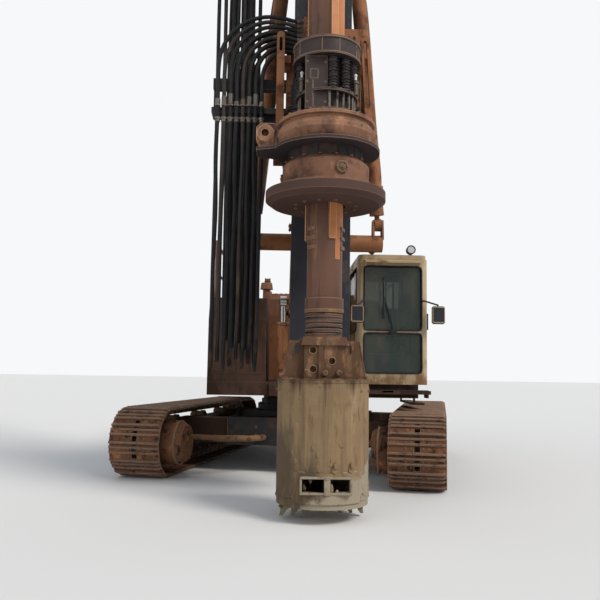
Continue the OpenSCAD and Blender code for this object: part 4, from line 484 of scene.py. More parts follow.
finish("steel", "greasy_steel", (92, 86, 80), (70, 64, 60), (RUST, 0.26, 12.0, ROUND, 0.85),
       (OIL, 0.24, 6.0, ROUND, 0.35), rough=(0.35, 0.6), metallic=0.7)
finish("spring_steel", "spring_steel", (58, 54, 56), (42, 39, 41), (RUST_DARK, 0.24, 9.0, ROUND, 0.85),
       rough=(0.4, 0.65), metallic=0.4)
finish("white_plastic", "white_fitting", (214, 214, 208), (196, 196, 190), (DUST, 0.2, 8.0, ROUND, 0.9),
       rough=(0.4, 0.6))
finish("black_trim", "black_rubber", (26, 26, 27), (34, 33, 34), ((88, 72, 56), 0.22, 7.0, ROUND, 0.9),
       rough=(0.5, 0.75))
finish("yellow_lamp", "yellow_lamp", (232, 176, 60), (216, 156, 48), (DUST, 0.2, 9.0, ROUND, 0.8),
       rough=(0.2, 0.4))
finish("lamp_lens", "lamp_lens", (206, 208, 204), (184, 188, 186), (DUST, 0.2, 9.0, ROUND, 0.8),
       rough=(0.08, 0.2), metallic=0.5, specular=0.5)
finish("mirror", "mirror_face", (214, 216, 218), (204, 206, 208), (DUST, 0.12, 8.0, ROUND, 0.7),
       rough=(0.03, 0.1), metallic=1.0, bump=0.0)


def glass():
    mat, tree, shader, coord = new_material("tinted_glass")
    dirt = remap(tree, noise(tree, coord, 3.0, TALL, detail=8), 0.45, 0.75)
    for socket, value in (("Base Color", mixed(tree, dirt, tone((38, 54, 48)), tone((78, 72, 56)))),
                          ("Roughness", remap(tree, dirt, 0, 1, 0.05, 0.5)),
                          ("Alpha", remap(tree, dirt, 0, 1, 0.55, 0.82))):
        tree.links.new(value, shader.inputs[socket])
    return mat


LOOKS["cab_glass"] = glass()

# CAD nodes take the look of their record's slot, apart from these; paint_box and paint_house are copies of the orange
# paint darkened with painted shade
OWN_LOOKS = dict(tank_box="paint_box", engine_house="paint_house", house_door_left="paint_house",
                 house_door_right="paint_house", counterweight="paint_house", upper_frame="paint_box",
                 hose_bracket="beam_dark", valve_box="paint_box", track_frame_left="paint_box",
                 track_frame_right="paint_box", cab_steps="paint_box", carbody="carbody_dark",
                 drive_motors="under_cast", drive_sleeve="sleeve_cast", gear_housing="housing_cast",
                 spring_basket="basket_brown")
record_slots = {s["node"]: s["material_slot"] for s in frame["record"]["subparts"]}
for node_name, obj in NODES.items():
    obj.data.materials.clear()
    look = OWN_LOOKS.get(node_name, record_slots.get(node_name))
    obj.data.materials.append(LOOKS.get(look, LOOKS["paint_body"]))


# Hoses, along the routes of the part's source

HOSE_FRONT, HOSE_BACK, HOSE_Y, HOSE_PITCH = 8, 4, -0.72, 0.072
HOSE_R, TRAVEL_HOSE_R = 0.024, 0.045
HOSE_LOW = 1.49      # height of the lowest loop, with each loop's lift above it
HOSE_LIFT = [0, 0.09, 0.03, 0.14, 0.06, 0, 0.11, 0.04, 0.25, 0.33, 0.28, 0.36]
HOSE_WORN = (3, 6, 9)


def hose_place(i):
    """Side place, forward place on the sled and on the mast, and lowest height of a hose."""
    y = HOSE_Y - HOSE_PITCH * (i if i < HOSE_FRONT else i - HOSE_FRONT + 1.5)
    return (y,) + ((3.72, 3.025) if i < HOSE_FRONT else (3.625, 3.12)) + (HOSE_LOW + HOSE_LIFT[i],)


def hose_start(i):
    y, x = hose_place(i)[:2]
    return (3.745 if i < HOSE_FRONT else x, -0.2503, 5.14 + 0.055 * (HOSE_Y - y) / HOSE_PITCH)


def hose_route(i):
    y, x, aft, low = hose_place(i)
    x0, y0, z = hose_start(i)
    k = (HOSE_Y - y) / HOSE_PITCH
    top, y_top, drop, half = z + 0.02 + 0.005 * k, -0.45 - 0.028 * k, 0.33 + 0.038 * k, (x - aft) / 2
    route = [(x0, y0, z), (x0, -0.32, z), (x0, (y0 + y_top) / 2, z + 0.012 + 0.003 * k)]
    route += [(x0 + (x - x0) * a / 90, y_top + (y - y_top) * sind(a), top - drop + drop * cosd(a))
              for a in range(0, 91, 15)]
    route.append((x, y, 4.44))
    route += [(x + 0.011 * cos(i * 1.3 + z * 2.9), y + 0.009 * sin(i * 2.1 + z * 3.7), z) for z in (3.9, 3.3, 2.7)]
    route += [(x - half * 0.09, y - 0.005, low + 0.62), (x - half * 0.3, y - 0.015, low + 0.25),
              (x - half * 0.66, y - 0.03, low + 0.05), (x - half, y - 0.038, low),
              (aft + half * 0.66, y - 0.046, low + 0.05), (aft + half * 0.3, y - 0.06, low + 0.25),
              (aft + half * 0.09, y - 0.07, low + 0.62), (aft, y - 0.075, low + 1.1)]
    route += [(aft + 0.008 * sin(i * 1.7 + z * 2.3), y - 0.075 + 0.009 * cos(i * 2.3 + z), z) for z in (4.2, 5.2, 6.2)]
    return route + [(aft, y - 0.075, 7.3), (aft, y - 0.075, 7.5497)]


def add_hoses():
    for i in range(HOSE_FRONT + HOSE_BACK):
        path = smooth_path(hose_route(i), 0.06)
        hose = piece("hose_%d" % (i + 1), Shape().tube(path, HOSE_R, 10), None,
                     "hose_worn" if i in HOSE_WORN else "hose_rubber")
        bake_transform(hose)
        if i == 0:
            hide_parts("drive_hoses", "mast_hoses")


def add_travel_hoses():
    y, c, s = 1.28, cosd(TRACK_TURN), sind(TRACK_TURN)
    for side, name, end_z in ((1, "left", 0.70), (-1, "right", 0.52)):
        route = [(1.98, y - 0.0003, 0.56), (1.98, y - 0.08, 0.56), (1.948, y - 0.165, 0.555),
                 (1.875, y - 0.265, 0.545), (1.79, y - 0.38, 0.53), (1.70, y - 0.50, 0.525),
                 (1.615, y - 0.62, (0.525 + end_z) / 2), (1.535, y - 0.74, end_z - 0.005),
                 (1.46, y - 0.85, end_z), (1.40, y - 0.89, end_z), (1.35, y - 0.90, end_z),
                 (1.3203, y - 0.90, end_z)]
        route = [(px, side * py, pz) for px, py, pz in route]
        path = smooth_path([(px * c - py * s, px * s + py * c, pz) for px, py, pz in route], 0.012)
        total = path_length(path)
        radii, run = [], 0.0
        for a, b in zip([path[0]] + path, path):
            run += (b - a).length
            t = run / total
            radii.append(0.036 if t < 0.30 else TRAVEL_HOSE_R if t < 0.58 or int(t * 60) % 3 else 0.041)
        hose = piece("travel_hose_sleeve_" + name, Shape().tube(path, radii, 12), name + "_track",
                     "travel_sleeve", replaces=("travel_hose_" + name,))


add_hoses()
add_travel_hoses()


# Floor, backdrop and light

SKY, SEEN_SKY = (0.80, 0.88, 1.0), (0.93, 0.94, 0.95)


def set_stage():
    mesh = bpy.data.meshes.new("floor")
    mesh.from_pydata([(-120, -120, 0), (60, -120, 0), (60, 120, 0), (-120, 120, 0)], [], [(0, 1, 2, 3)])
    obj = new_object("floor", mesh)
    mat = bpy.data.materials.new("pale_floor")
    mat.use_nodes = True
    shader = mat.node_tree.nodes["Principled BSDF"]
    shader.inputs["Base Color"].default_value = (0.72, 0.70, 0.67, 1)
    shader.inputs["Roughness"].default_value = 0.9
    mesh.materials.append(mat)

    world = bpy.data.worlds.new("studio")
    bpy.context.scene.world = world
    world.use_nodes = True
    tree = world.node_tree
    back = tree.nodes["Background"]
    rays = tree.nodes.new("ShaderNodeLightPath").outputs
    seen = calc(tree, rays["Is Camera Ray"], rays["Is Glossy Ray"], "MAXIMUM")
    seen = calc(tree, seen, rays["Is Transmission Ray"], "MAXIMUM")
    tree.links.new(mixed(tree, seen, SKY, SEEN_SKY), back.inputs["Color"])
    tree.links.new(remap(tree, seen, 0, 1, 0.62, 1.0), back.inputs["Strength"])

    for name, way, energy, angle in (("key", (-0.55, -0.62, -0.75), 2.3, 20), ("fill", (-0.7, 0.7, -0.35), 0.4, 40)):
        data = bpy.data.lights.new(name, "SUN")
        data.energy = energy
        data.angle = radians(angle)
        data.color = (1.0, 0.97, 0.93)
        lamp = new_object(name, data)
        lamp.rotation_mode = "QUATERNION"
        lamp.rotation_quaternion = Vector(way).to_track_quat("-Z", "Y")
        lamp.location = (6, -4, 12)
    bpy.context.scene.view_settings.view_transform = "Standard"


set_stage()


# Tracks

WHEEL_R, BASE, GAUGE, SHOE_W, SHOES = 0.48, 4.09, 3.73, 0.72, 48   # WHEEL_R is out to the grousers
GROUSER, PLATE = 0.027, 0.030        # height of the bars, thickness of the shoes
CHAIN_OUT = WHEEL_R - GROUSER - PLATE
SHOE_PITCH = (2 * BASE + 2 * pi * CHAIN_OUT) / SHOES


def loop_place(s, y, inset=0.0):
    """Place on the track loop: local x along it, local z outward, in the turned undercarriage."""
    half, arc, r = BASE / 2, pi * CHAIN_OUT, CHAIN_OUT - inset
    u = s % (2 * BASE + 2 * arc)
    if u < BASE:
        x, a = half - u, 90
    elif u < BASE + arc:
        x, a = -half, 90 + degrees((u - BASE) / CHAIN_OUT)
    elif u < 2 * BASE + arc:
        x, a = -half + u - BASE - arc, 270
    else:
        x, a = half, -90 + degrees((u - 2 * BASE - arc) / CHAIN_OUT)
    out = Vector((cosd(a), 0, sind(a)))
    way = Vector((-out.z, 0, out.x))
    m = Matrix((way, out.cross(way), out)).transposed().to_4x4()
    m.translation = (x + r * cosd(a), y, WHEEL_R + r * sind(a))
    return UNDER @ m


def add_track(side, name):
    y_mid, half = side * GAUGE / 2, SHOE_W / 2
    rng = random.Random(11 + side)
    shoes, bars, links = Shape(), Shape(), Shape()
    p, t, g = SHOE_PITCH, PLATE, GROUSER
    edge_bar = [(-0.465, t * 0.3), (-0.465, t + g * 0.75), (-0.44, t + g), (-0.35, t + g), (-0.315, t + g * 0.2),
                (-0.30, t * 0.3)]
    on_side = Matrix(((1, 0, 0, 0), (0, 0, 1, 0), (0, -1, 0, 0), (0, 0, 0, 1)))
    for i in range(SHOES):
        s = (i + 0.5) * p
        curved = abs(loop_place(s, 0).translation.z - WHEEL_R) < CHAIN_OUT - 0.002
        m = loop_place(s, y_mid, 0.004 if curved else 0.0)
        m = m @ Matrix.Rotation(rng.uniform(-0.006, 0.006), 4, "Y")
        for y0, y1 in ((-half, -0.034), (0.034, half)):
            shoes.box((-0.44 * p, y0, 0.006), (0.46 * p, y1, t), m, 0.005)
            lip = m @ shift(0.44 * p, 0, 0.002) @ spin(9 if curved else 0, "Y")
            shoes.box((0, y0 + 0.004, -0.0045), (0.17 * p, y1 - 0.004, 0.0035), lip)
        for x0, x1, top in ((-0.44, -0.29, t), (0.02, 0.16, t), (0.33, 0.46, t - 0.004)):
            shoes.box((x0 * p, -0.05, 0.006), (x1 * p, 0.05, top), m)
        for along, lift in ((0.0, 0.0), (0.505, 0.0), (0.80, -0.014)):
            outline = [((x + along) * p, -z - (lift if z > t else 0)) for x, z in edge_bar]
            for y0, y1, cut in ((-half + 0.03, half - 0.03, 0), (-half, -half + 0.03, 1), (half - 0.03, half, 1)):
                line = [(x, z * (0.72 if cut and -z > t else 1)) for x, z in outline]
                bars.prism(line[::-1], y0, y1, m @ on_side)
        for y, x in product((-0.25, -0.13, 0.13, 0.25), (-0.10, 0.245)):
            shoes.bolt(m @ Vector((x * p, y * 0.56, t)), m.to_3x3() @ Vector(UP), 0.011, False)
        for y, (x, w, z0, z1) in product((-0.085, 0.085), ((0.0, 0.012, -0.088, 0.0), (0.5, 0.012, -0.082, -0.006))):
            off = 0.014 if x else -0.014
            yy = y + (off if y > 0 else -off)
            links.box((x * p - 0.42 * p, yy - w, z0), (x * p + 0.42 * p, yy + w, z1),
                      loop_place(s + x * p, y_mid) @ shift(-x * p, 0, 0), 0.012)
        pin = loop_place(s + 0.5 * p, y_mid) @ shift(0, 0, -0.045) @ spin(90, "X")
        links.lathe([(0.021, -0.108), (0.021, 0.108)], pin, 8)
    body = name + "_track"
    piece("track_shoes_" + name, shoes, body, "track_steel", replaces=("track_" + name,))
    # Bars in a lighter tone than the shoes: painted highlight
    piece("track_bars_" + name, bars, body, "track_bar")
    piece("track_chain_" + name, links, body, "head_steel")


def add_travel_gear(side, name):
    """Bolts on wheels, drives and frames, cover rings, guide plates and carrier rollers."""
    y_mid, half = side * GAUGE / 2, BASE / 2
    turn = UNDER.to_3x3()
    shape, dark = Shape(), Shape()

    def at(x, y, z):
        return UNDER @ Vector((x, y_mid + side * y, z))

    across = turn @ Vector((0, side, 0))
    for x in (-half, half):
        shape.bolt_circle(at(x, 0.212, WHEEL_R), across, 0.155, 12, 0.013)
        shape.bolt_circle(at(x, 0.242, WHEEL_R), across, 0.05, 4, 0.010)
    shape.bolt_circle(at(half, -0.585, WHEEL_R), -across, 0.20, 16, 0.012)
    for z in (0.55, 0.40):
        shape.bolt(at(half, -0.585, z), -across, 0.02)
    dark.ring([(0.302, 0.0), (0.306, 0.012), (0.302, 0.02), (0.29, 0.02)],
              facing(at(half, -0.49, WHEEL_R), -across), 48)
    for k, s in product(range(4), SIDES):
        x, y = -1.35 + 0.9 * k, y_mid + s * 0.15
        shape.box((x - 0.09, y - 0.012, 0.30), (x + 0.09, y + 0.012, 0.42), UNDER)
        for dx in (-0.06, 0.06):
            shape.bolt(UNDER @ Vector((x + dx, y_mid + s * 0.162, 0.36)), turn @ Vector((0, s, 0)), 0.012)
    for s in SIDES:
        shape.weld([UNDER @ Vector((x, y_mid + s * 0.151, 0.69)) for x in (half - 0.55, -half + 0.55)], 0.007)
    roller = [(0.02, -0.03), (0.05, -0.03), (0.062, -0.02), (0.062, 0.045), (0.05, 0.055), (0.05, 0.125),
              (0.062, 0.135), (0.062, 0.2), (0.05, 0.21), (0.02, 0.21)]
    for k in range(3):
        x = -1.2 + 1.2 * k
        dark.lathe(roller, facing(UNDER @ Vector((x, y_mid - 0.09, 0.745)), turn @ Vector((0, 1, 0))), 20)
        for y in (-0.125, 0.125):
            dark.box((x - 0.04, y_mid + y - 0.012, 0.685), (x + 0.04, y_mid + y + 0.012, 0.76), UNDER)
    piece("travel_bolts_" + name, shape, name + "_track", "paint_body")
    piece("carrier_rollers_" + name, dark, name + "_track", "head_steel")


for side, name in NAMED_SIDES:
    add_track(side, name)
    add_travel_gear(side, name)


# Rotary drive

def add_drive():
    bolts, welds, ear = shapes(3)
    for i in range(24):
        bolts.bolt(around(7.5 + 15 * i, 0.505, 4.15), UP, 0.014)
        if i % 2:
            bolts.bolt(around(7.5 + 15 * i, 0.545, 3.855), UP, 0.013)
    for z, r in ((3.90, 0.503), (4.088, 0.488)):
        welds.weld([around(a, r, z) for a in range(-100, 101, 4)], 0.007)
    for y in (-0.54, -0.58):
        welds.weld([(AXIS + 0.046, y, 3.875), (AXIS + 0.046, y + 0.02, 4.08)], 0.007)
    welds.weld([(AXIS + 0.0465, -0.70, 3.86), (AXIS + 0.0465, -0.757, 3.965)], 0.004)
    for x in (AXIS + 0.0455, AXIS - 0.0475):
        ear.collar(0.0405, 0.094, 0.0, 0.002, facing((x, -0.66, 4.04), AHEAD), 32)
    ear.weld([(AXIS + 0.046, y, z) for y, z in ((-0.753, 3.965), (-0.753, 4.098), (-0.711, 4.142), (-0.565, 4.142))],
             0.004)
    for a, z in ((-38, 3.96), (22, 4.0), (40, 4.02)):
        bolts.bolt(around(a, 0.53, z), outward(a), 0.018)
    for s in SIDES:
        m = facing((3.86, s * 0.51, 4.21), AHEAD)
        bolts.lathe([(0.019, -0.035), (0.034, -0.033), (0.034, -0.022), (0.019, -0.02)], m, 16)
        bolts.lathe([(0.034, 0.028), (0.034, 0.04), (0.028, 0.044)], m, 16)
        bolts.bolts((3.80, 3.88), (s * 0.42, s * 0.5595), (4.142,), UP, 0.013)
    piece("ear_face", ear, "drive", "ear_cast")
    piece("drive_bolts", bolts, "drive", "head_steel")
    piece("drive_welds", welds, "drive", "rust_cast")


def add_sleeve():
    plugs, dark, neck = shapes(3)
    for a in (17, 137, 257):
        place = facing(around(a, 0.468, 3.56), outward(a))
        plugs.ring([(0.044, 0.004), (0.064, 0.004), (0.066, 0.012), (0.060, 0.018), (0.048, 0.018)], place, 32)
        plugs.bolt_circle(place @ Vector((0, 0, 0.018)), outward(a), 0.054, 6, 0.0075)
        plugs.lathe([(0.040, 0.004), (0.040, 0.012), (0.034, 0.016), (0.016, 0.016), (0.016, 0.006)], place)
        plugs.lathe([(0.020, 0.012), (0.020, 0.026), (0.017, 0.030)], place, 6)
    dark.weld(circle(0.556, 3.417, 4), 0.009)
    for i in range(16):
        dark.bolt(around(11 + 22.5 * i, 0.435, 3.7), UP, 0.014)
    for i in range(12):
        dark.bolt(around(15 + 30 * i, 0.33, 3.25), DOWN, 0.016)
    # A dark collar with welds over the neck: painted shade in the recess between the gear housing and the drum
    neck.collar(0.398, 0.4035, 3.702, 3.818, shift(AXIS, 0, 0), 64)
    for a in range(0, 360, 15):
        neck.weld([around(a, 0.404, 3.706), around(a, 0.404, 3.815)], 0.005)
    piece("sleeve_neck", neck, "sleeve", "under_cast")
    piece("drum_plugs", plugs, "sleeve", "head_steel")
    piece("drum_welds", dark, "sleeve", "sleeve_cast")


def helix(r, lo, hi, turns, steps, flat=0.0):
    """Points of a coil round z. flat is the share of it that lies flat at each end."""
    n = turns * steps
    return [(r * cos(2 * pi * k / steps), r * sin(2 * pi * k / steps),
             lo + (hi - lo) * min(1, max(0, (k / n - flat) / (1 - 2 * flat)))) for k in range(n + 1)]


def add_basket():
    coils, posts, white, trim, panel = shapes(5)
    z0, z1 = 4.446, 4.806
    for i in range(10):
        c = around(9 + 30 * i, 0.29, 0)
        coils.tube([(c.x + x, c.y + y, z) for x, y, z in helix(0.046, z0 + 0.008, z1 - 0.008, 11, 14, 0.02)], 0.0085, 6)
        for z in (z0, z1 - 0.012):
            coils.collar(0.03, 0.058, 0, 0.012, shift(c.x, c.y, z), 20)
        for a in (2 + 30 * i, 18 + 30 * i):
            posts.tube([around(a, 0.30, 4.235), around(a, 0.30, 4.42)], 0.0165)
        posts.bolt(around(24 + 30 * i, 0.322, 4.448), UP, 0.013)
    for i in range(12):
        posts.bolt(around(4 + 30 * i, 0.325, 4.232), UP, 0.013)
    for a, r in ((-57, 0.330), (64, 0.335)):
        x, y, _ = around(a, r, 0)
        posts.tube([(x, y, 4.44), (x, y, 4.60)], 0.028, 12)
        posts.collar(0.02, 0.036, 0, 0.03, shift(x, y, 4.56), 16)
        white.tube([(x, y, 4.60), (x, y, 4.645)], [0.016, 0.013], 12)
        white.lathe([(0.013, 0), (0.02, 0.006), (0.02, 0.018), (0.008, 0.03)], shift(x, y, 4.645), 12)
    for a in (-57, -12, 18, 58, 92, 128, 165, 200, 238, 275):
        trim.weld([around(a, 0.3585, 4.836), around(a, 0.3585, 4.986)], 0.006)
    for z, r in ((4.992, 0.366), (4.826, 0.368)):
        trim.weld(circle(r, z, 5), 0.008)
    panel.box((AXIS + 0.2815, -0.243, 4.240), (AXIS + 0.2865, -0.010, 4.802), cut=0.002)
    panel.bolts((AXIS + 0.286,), (-0.225, -0.028), (4.30, 4.52, 4.74), AHEAD, 0.010)
    panel.box((AXIS + 0.284, -0.19, 4.56), (AXIS + 0.291, -0.11, 4.66), cut=0.003)
    panel.weld([(AXIS + 0.287, -0.16, 4.25), (AXIS + 0.287, -0.165, 4.54)], 0.004)
    piece("basket_panel", panel, "sleeve", "basket_brown")
    piece("coil_springs", coils, "sleeve", "spring_steel")
    piece("basket_posts", posts, "sleeve", "steel")
    piece("white_fittings", white, "sleeve", "white_plastic")
    piece("collar_seams", trim, "sleeve", "worn_edge")


add_drive()
add_sleeve()
add_basket()


# Nuts and ferrules of the hoses

def fitting(shape, m, base, nut, r, tall, end):
    """A hose's nut, from base to nut, and above it the ferrule of radius r, up to tall and end."""
    shape.collar(0.0255, 0.036, base, nut, m, 6)
    shape.ring([(0.0255, nut), (r, nut + 0.002), (r, tall), (0.0255, end)], m, 14)


def add_hose_fittings():
    low, top = shapes(2)
    for i in range(HOSE_FRONT + HOSE_BACK):
        y, x, aft, _ = hose_place(i)
        for z, way, tall in ((4.503, UP, 0.05 + 0.03 * (i * 7 % 4)), (4.368 if i < HOSE_FRONT else 4.44, DOWN, 0.05)):
            fitting(low, facing((x, y, z), way), 0.0, 0.022, 0.031, tall, tall + 0.007)
        fitting(low, facing(hose_start(i), (0, -1, 0)), 0.001, 0.024, 0.030, 0.07, 0.075)
        fitting(top, facing((aft, y - 0.075, 7.5485), DOWN), 0.0, 0.03, 0.031, 0.09, 0.096)
    piece("hose_fittings_drive", low, "drive", "zinc")
    piece("hose_fittings_mast", top, "mast", "zinc")


add_hose_fittings()


# Ropes

HEAD_X, HEAD_Z = (2.37, 3.83), 20.38      # axes of the head's sheaves
WINCH_X, MAIN_Z, AUX_Z = 2.32, 4.95, 6.15   # axes of the winches
MAIN_R, AUX_R = 0.014, 0.010   # of the ropes


def over_head(r, y):
    """A rope's way over both sheaves of the mast's head, from back to front."""
    turns = [(x, start - 90 * k / 14) for x, start in zip(HEAD_X, (180, 90)) for k in range(15)]
    return [(x + r * cosd(a), y, HEAD_Z + r * sind(a)) for x, a in turns]


def add_ropes():
    main = [(WINCH_X - 0.262, -0.10, MAIN_Z), (2.069, -0.02, 19.6)] + over_head(0.286 + MAIN_R, 0)
    piece("main_rope", Shape().tube(main, MAIN_R), "mast", "wire_rope")
    # The fall from the head down to the swivel lengthens as the kelly bar goes down
    fall = piece("main_rope_fall", Shape().tube([main[-1], (AXIS, 0, 14.9)], MAIN_R), None, "wire_rope")
    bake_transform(fall)
    groove = 0.285 + AUX_R
    x, y, z = HEAD_X[1] + groove, 0.18, 18.9
    aux = [(WINCH_X - 0.19, 0.12, AUX_Z), (2.072, y, 19.8)] + over_head(groove, y) + [(x, y, z)]
    piece("aux_rope", Shape().tube(aux, AUX_R), "mast", "wire_rope")
    hook = Shape().lathe([(0.006, 0.10), (0.022, 0.08), (0.03, 0.0), (0.03, -0.12), (0.05, -0.16), (0.075, -0.22),
                          (0.08, -0.36), (0.06, -0.44), (0.03, -0.48), (0.026, -0.56), (0.0, -0.56)], shift(x, y, z))
    bend = [(x, y, z - 0.54), (x, y, z - 0.60)]
    bend += [(x + 0.05 * cosd(a), y, z - 0.66 + 0.05 * sind(a)) for a in range(100, -160, -15)]
    hook.tube(bend, [0.018 + 0.006 * sin(pi * i / len(bend)) for i in range(len(bend))], 10)
    piece("aux_hook", hook, "mast", "yellow_lamp")
    for name, z, radius, half, r in (("main", MAIN_Z, 0.25, 0.215, MAIN_R), ("aux", AUX_Z, 0.18, 0.18, AUX_R)):
        turns = int(2 * half / (r * 2.05))
        wraps = [(WINCH_X + px, pz, z + py) for px, py, pz in helix(radius + r * 0.25, -half, half, turns, 20)]
        piece(name + "_rope_wraps", Shape().tube(wraps, r, 5), name + "_winch", "wire_rope")
        flange = Shape()
        for s in SIDES:
            y = s * (half + 0.042)
            flange.bolt_circle((WINCH_X, y, z), (0, s, 0), radius * 0.62, 10, 0.012)
            for k in range(8):
                flange.box((radius * 0.35, -0.005, -0.008), (radius + 0.04, 0.005, 0.008),
                           shift(WINCH_X, y, z) @ spin(-45 * k - 10, "Y"))
        piece(name + "_winch_ribs", flange, name + "_winch", "paint_dark")
    swivel = Shape().lathe([(0.095, 0.0), (0.105, 0.02), (0.105, 0.1), (0.096, 0.12), (0.096, 0.22), (0.104, 0.24),
                            (0.104, 0.32), (0.09, 0.40), (0.05, 0.425), (0.03, 0.43), (0.03, 0.47), (0.016, 0.50)],
                           shift(AXIS, 0, 15.10), 28)
    for a in range(0, 360, 45):
        swivel.bolt(around(a, 0.106, 15.16), outward(a), 0.01)
    piece("rope_swivel", swivel, "core_kelly", "steel")


add_ropes()


# Bucket

BUCKET_R = 0.4745


def lump(shape, place, size, profile, n, turn):
    """A flattened clod of mud."""
    shape.lathe(profile, place @ Matrix.Diagonal((*size, 1)), n, turn)


def on_bucket(y, z, r=BUCKET_R):
    """A point on the front of the bucket."""
    return Vector((AXIS + sqrt(r ** 2 - y * y), y, z))


def add_bucket():
    iron, welds, mud, window, smear = shapes(5)
    edge = AXIS + 0.485
    for z in (0.236, 1.385):
        welds.weld(circle(0.476, z, 3), 0.008)
    welds.weld([(AXIS + 0.476, 0.0, z) for z in (1.40, 1.15)], 0.004)
    for x, s, side in product((AXIS - 0.13, AXIS + 0.13), SIDES, (0.016, -0.016)):
        welds.weld([(x + side, s * 0.43, 1.415), (x + side, s * 0.361, 1.80)], 0.006)
    y0, y1, z0, z1 = -0.225, 0.24, 0.33, 0.455
    for lo in (z1, z0 - 0.024):
        window.box((edge - 0.03, y0 - 0.022, lo), (edge + 0.006, y1 + 0.022, lo + 0.024))
    for y in (y0 - 0.022, y1):
        window.box((edge - 0.05, y, z0 - 0.024), (edge + 0.002, y + 0.022, z1 + 0.024))
    window.box((edge - 0.008, -0.012, z0 - 0.03), (edge + 0.014, 0.049, z1 + 0.03))
    window.bolts((edge + 0.014,), (0.018,), (z1 + 0.012, z0 - 0.012), AHEAD, 0.014)
    for y in (0.094, 0.258):
        x = on_bucket(y, 0, 0.475).x
        iron.tube([(x - 0.01, y, 0.60), (x + 0.028, y, 0.595), (x + 0.034, y, 0.565), (x + 0.02, y, 0.545)], 0.013)
    for y, z in ((-0.122, 1.705), (-0.119, 1.512), (0.074, 1.596)):
        iron.collar(0.033, 0.044, 0, 0.006, facing((AXIS + 0.21, y, z), AHEAD), 20)
    for y, z in ((0.004, 1.473), (0.146, 1.476)):
        iron.lathe([(0.030, -0.01), (0.030, 0.008), (0.024, 0.014), (0.010, 0.014)],
                   facing((AXIS + 0.255, y, z), AHEAD), 16)
    iron.tube([(AXIS + 0.236, -0.20, 1.50), (AXIS + 0.236, -0.17, 1.50), (AXIS + 0.236, -0.15, 1.47)], 0.008, 6)
    for s, a in product(SIDES, (50, 72, 94)):
        iron.bolt(around(s * a, 0.476, 1.30), outward(s * a), 0.013)
    rng = random.Random(4)
    draw = rng.uniform
    for _ in range(46):
        a = draw(-80, 80)
        z = rng.choice([draw(0.24, 0.36), draw(0.24, 0.8), draw(0.3, 1.35)])
        w = draw(0.01, 0.028)
        lump(mud, facing(around(a, BUCKET_R, z), outward(a)), (w * draw(0.7, 1.3), w * draw(0.8, 2.6), 0.012),
             [(1.0, -0.2), (0.86, 0.32), (0.5, 0.7), (0.0, 0.85)], 9, rng.random())
    for _ in range(64):
        y = draw(-0.30, 0.40)
        z = rng.choice((draw(0.235, 0.30), draw(0.482, 0.50), draw(0.24, 0.5) if y > 0.28 else 0.262))
        w = draw(0.012, 0.036)
        p = on_bucket(y, z)
        lump(smear, facing(p, (p.x - AXIS, p.y, 0)), (w * draw(0.7, 1.6), w * draw(0.4, 1.2), 0.007),
             [(1.0, -0.2), (0.84, 0.34), (0.5, 0.72), (0.0, 0.85)], 9, rng.random())
    for _ in range(70):
        place = shift(AXIS + draw(-0.21, 0.21), draw(-0.40, 0.40), 1.41)
        lump(mud, place, (draw(0.03, 0.07), draw(0.03, 0.07), draw(0.01, 0.03)),
             [(1.0, -0.2), (0.8, 0.4), (0.4, 0.8), (0.0, 0.95)], 8, rng.random())
    piece("window_mud", smear, "core_kelly", "pale_mud")
    piece("window_frame", window, "core_kelly", "pale_mud")
    piece("bucket_iron", iron, "core_kelly", "head_steel")
    piece("bucket_welds", welds, "core_kelly", "mud_steel")
    piece("bucket_mud", mud, "core_kelly", "mud_steel")


def add_teeth():
    teeth, mud = shapes(2)
    z0 = 0.1597
    across = Matrix(((0, 0, 1, 0), (1, 0, 0, 0), (0, 1, 0, 0), (0, 0, 0, 1)))
    tooth = [(0.0, 0.006), (-0.007, -0.052), (-0.016, -0.121), (0.012, -0.1245), (0.060, -0.062),
             (0.090, -0.047), (0.098, 0.006)]
    rng = random.Random(9)
    for turn in (0, 180):
        m = shift(AXIS, 0, z0) @ spin(turn, "Z") @ across
        teeth.prism([(-0.438, 0.006), (-0.426, -0.064), (-0.060, -0.040), (-0.068, 0.006)], 0.020, 0.056, m)
        for y in (-0.418, -0.306, -0.194):
            teeth.prism([(y + a, b) for a, b in tooth], 0.048, 0.110, m)
            teeth.prism([(y + 0.012 + a * 0.7, b * 0.55) for a, b in tooth], 0.106, 0.118, m)
            teeth.weld([m @ Vector((y + a, -0.01, 0.112)) for a in (-0.002, 0.096)])
            for _ in range(3):
                p = m @ Vector((y + rng.uniform(0, 0.08), rng.uniform(-0.06, 0), rng.uniform(0.06, 0.11)))
                lump(mud, shift(*p), (0.028, 0.03, 0.022), [(0.6, -0.6), (1.0, 0.0), (0.7, 0.6), (0.0, 0.85)], 8,
                     rng.random())
    teeth.weld(circle(0.46, z0 + 0.003, 5), 0.007)
    piece("bucket_teeth", teeth, "flap", "pale_mud")
    piece("teeth_mud", mud, "flap", "mud_steel")


add_bucket()
add_teeth()


# Kelly bar

KEY_ANGLES = (20, 140, 260)


def add_highlight_skin(shape, m, z0, z1, width, steps=6):
    """A thin curved skin in the key's orange over the bar's side, from 12 degrees beside a key on, width degrees wide:
    a painted highlight on the side of the bar that light falls on.
    """
    ring = [(0.1872 if q % 2 else 0.1904, 12 + width * (q // 2) / steps) for q in range(2 * steps + 2)]
    n = len(ring)
    faces = [(0, 1, n + 1, n), (n - 2, 2 * n - 2, 2 * n - 1, n - 1)]
    for q in range(0, n - 2, 2):
        faces += [(q, n + q, n + q + 2, q + 2), (q + 1, q + 3, n + q + 3, n + q + 1),
                  (q, q + 2, q + 3, q + 1), (n + q, n + q + 1, n + q + 3, n + q + 2)]
    shape.add([m @ Vector((r * cosd(b), r * sind(b), z)) for z in (z0, z1) for r, b in ring], faces)


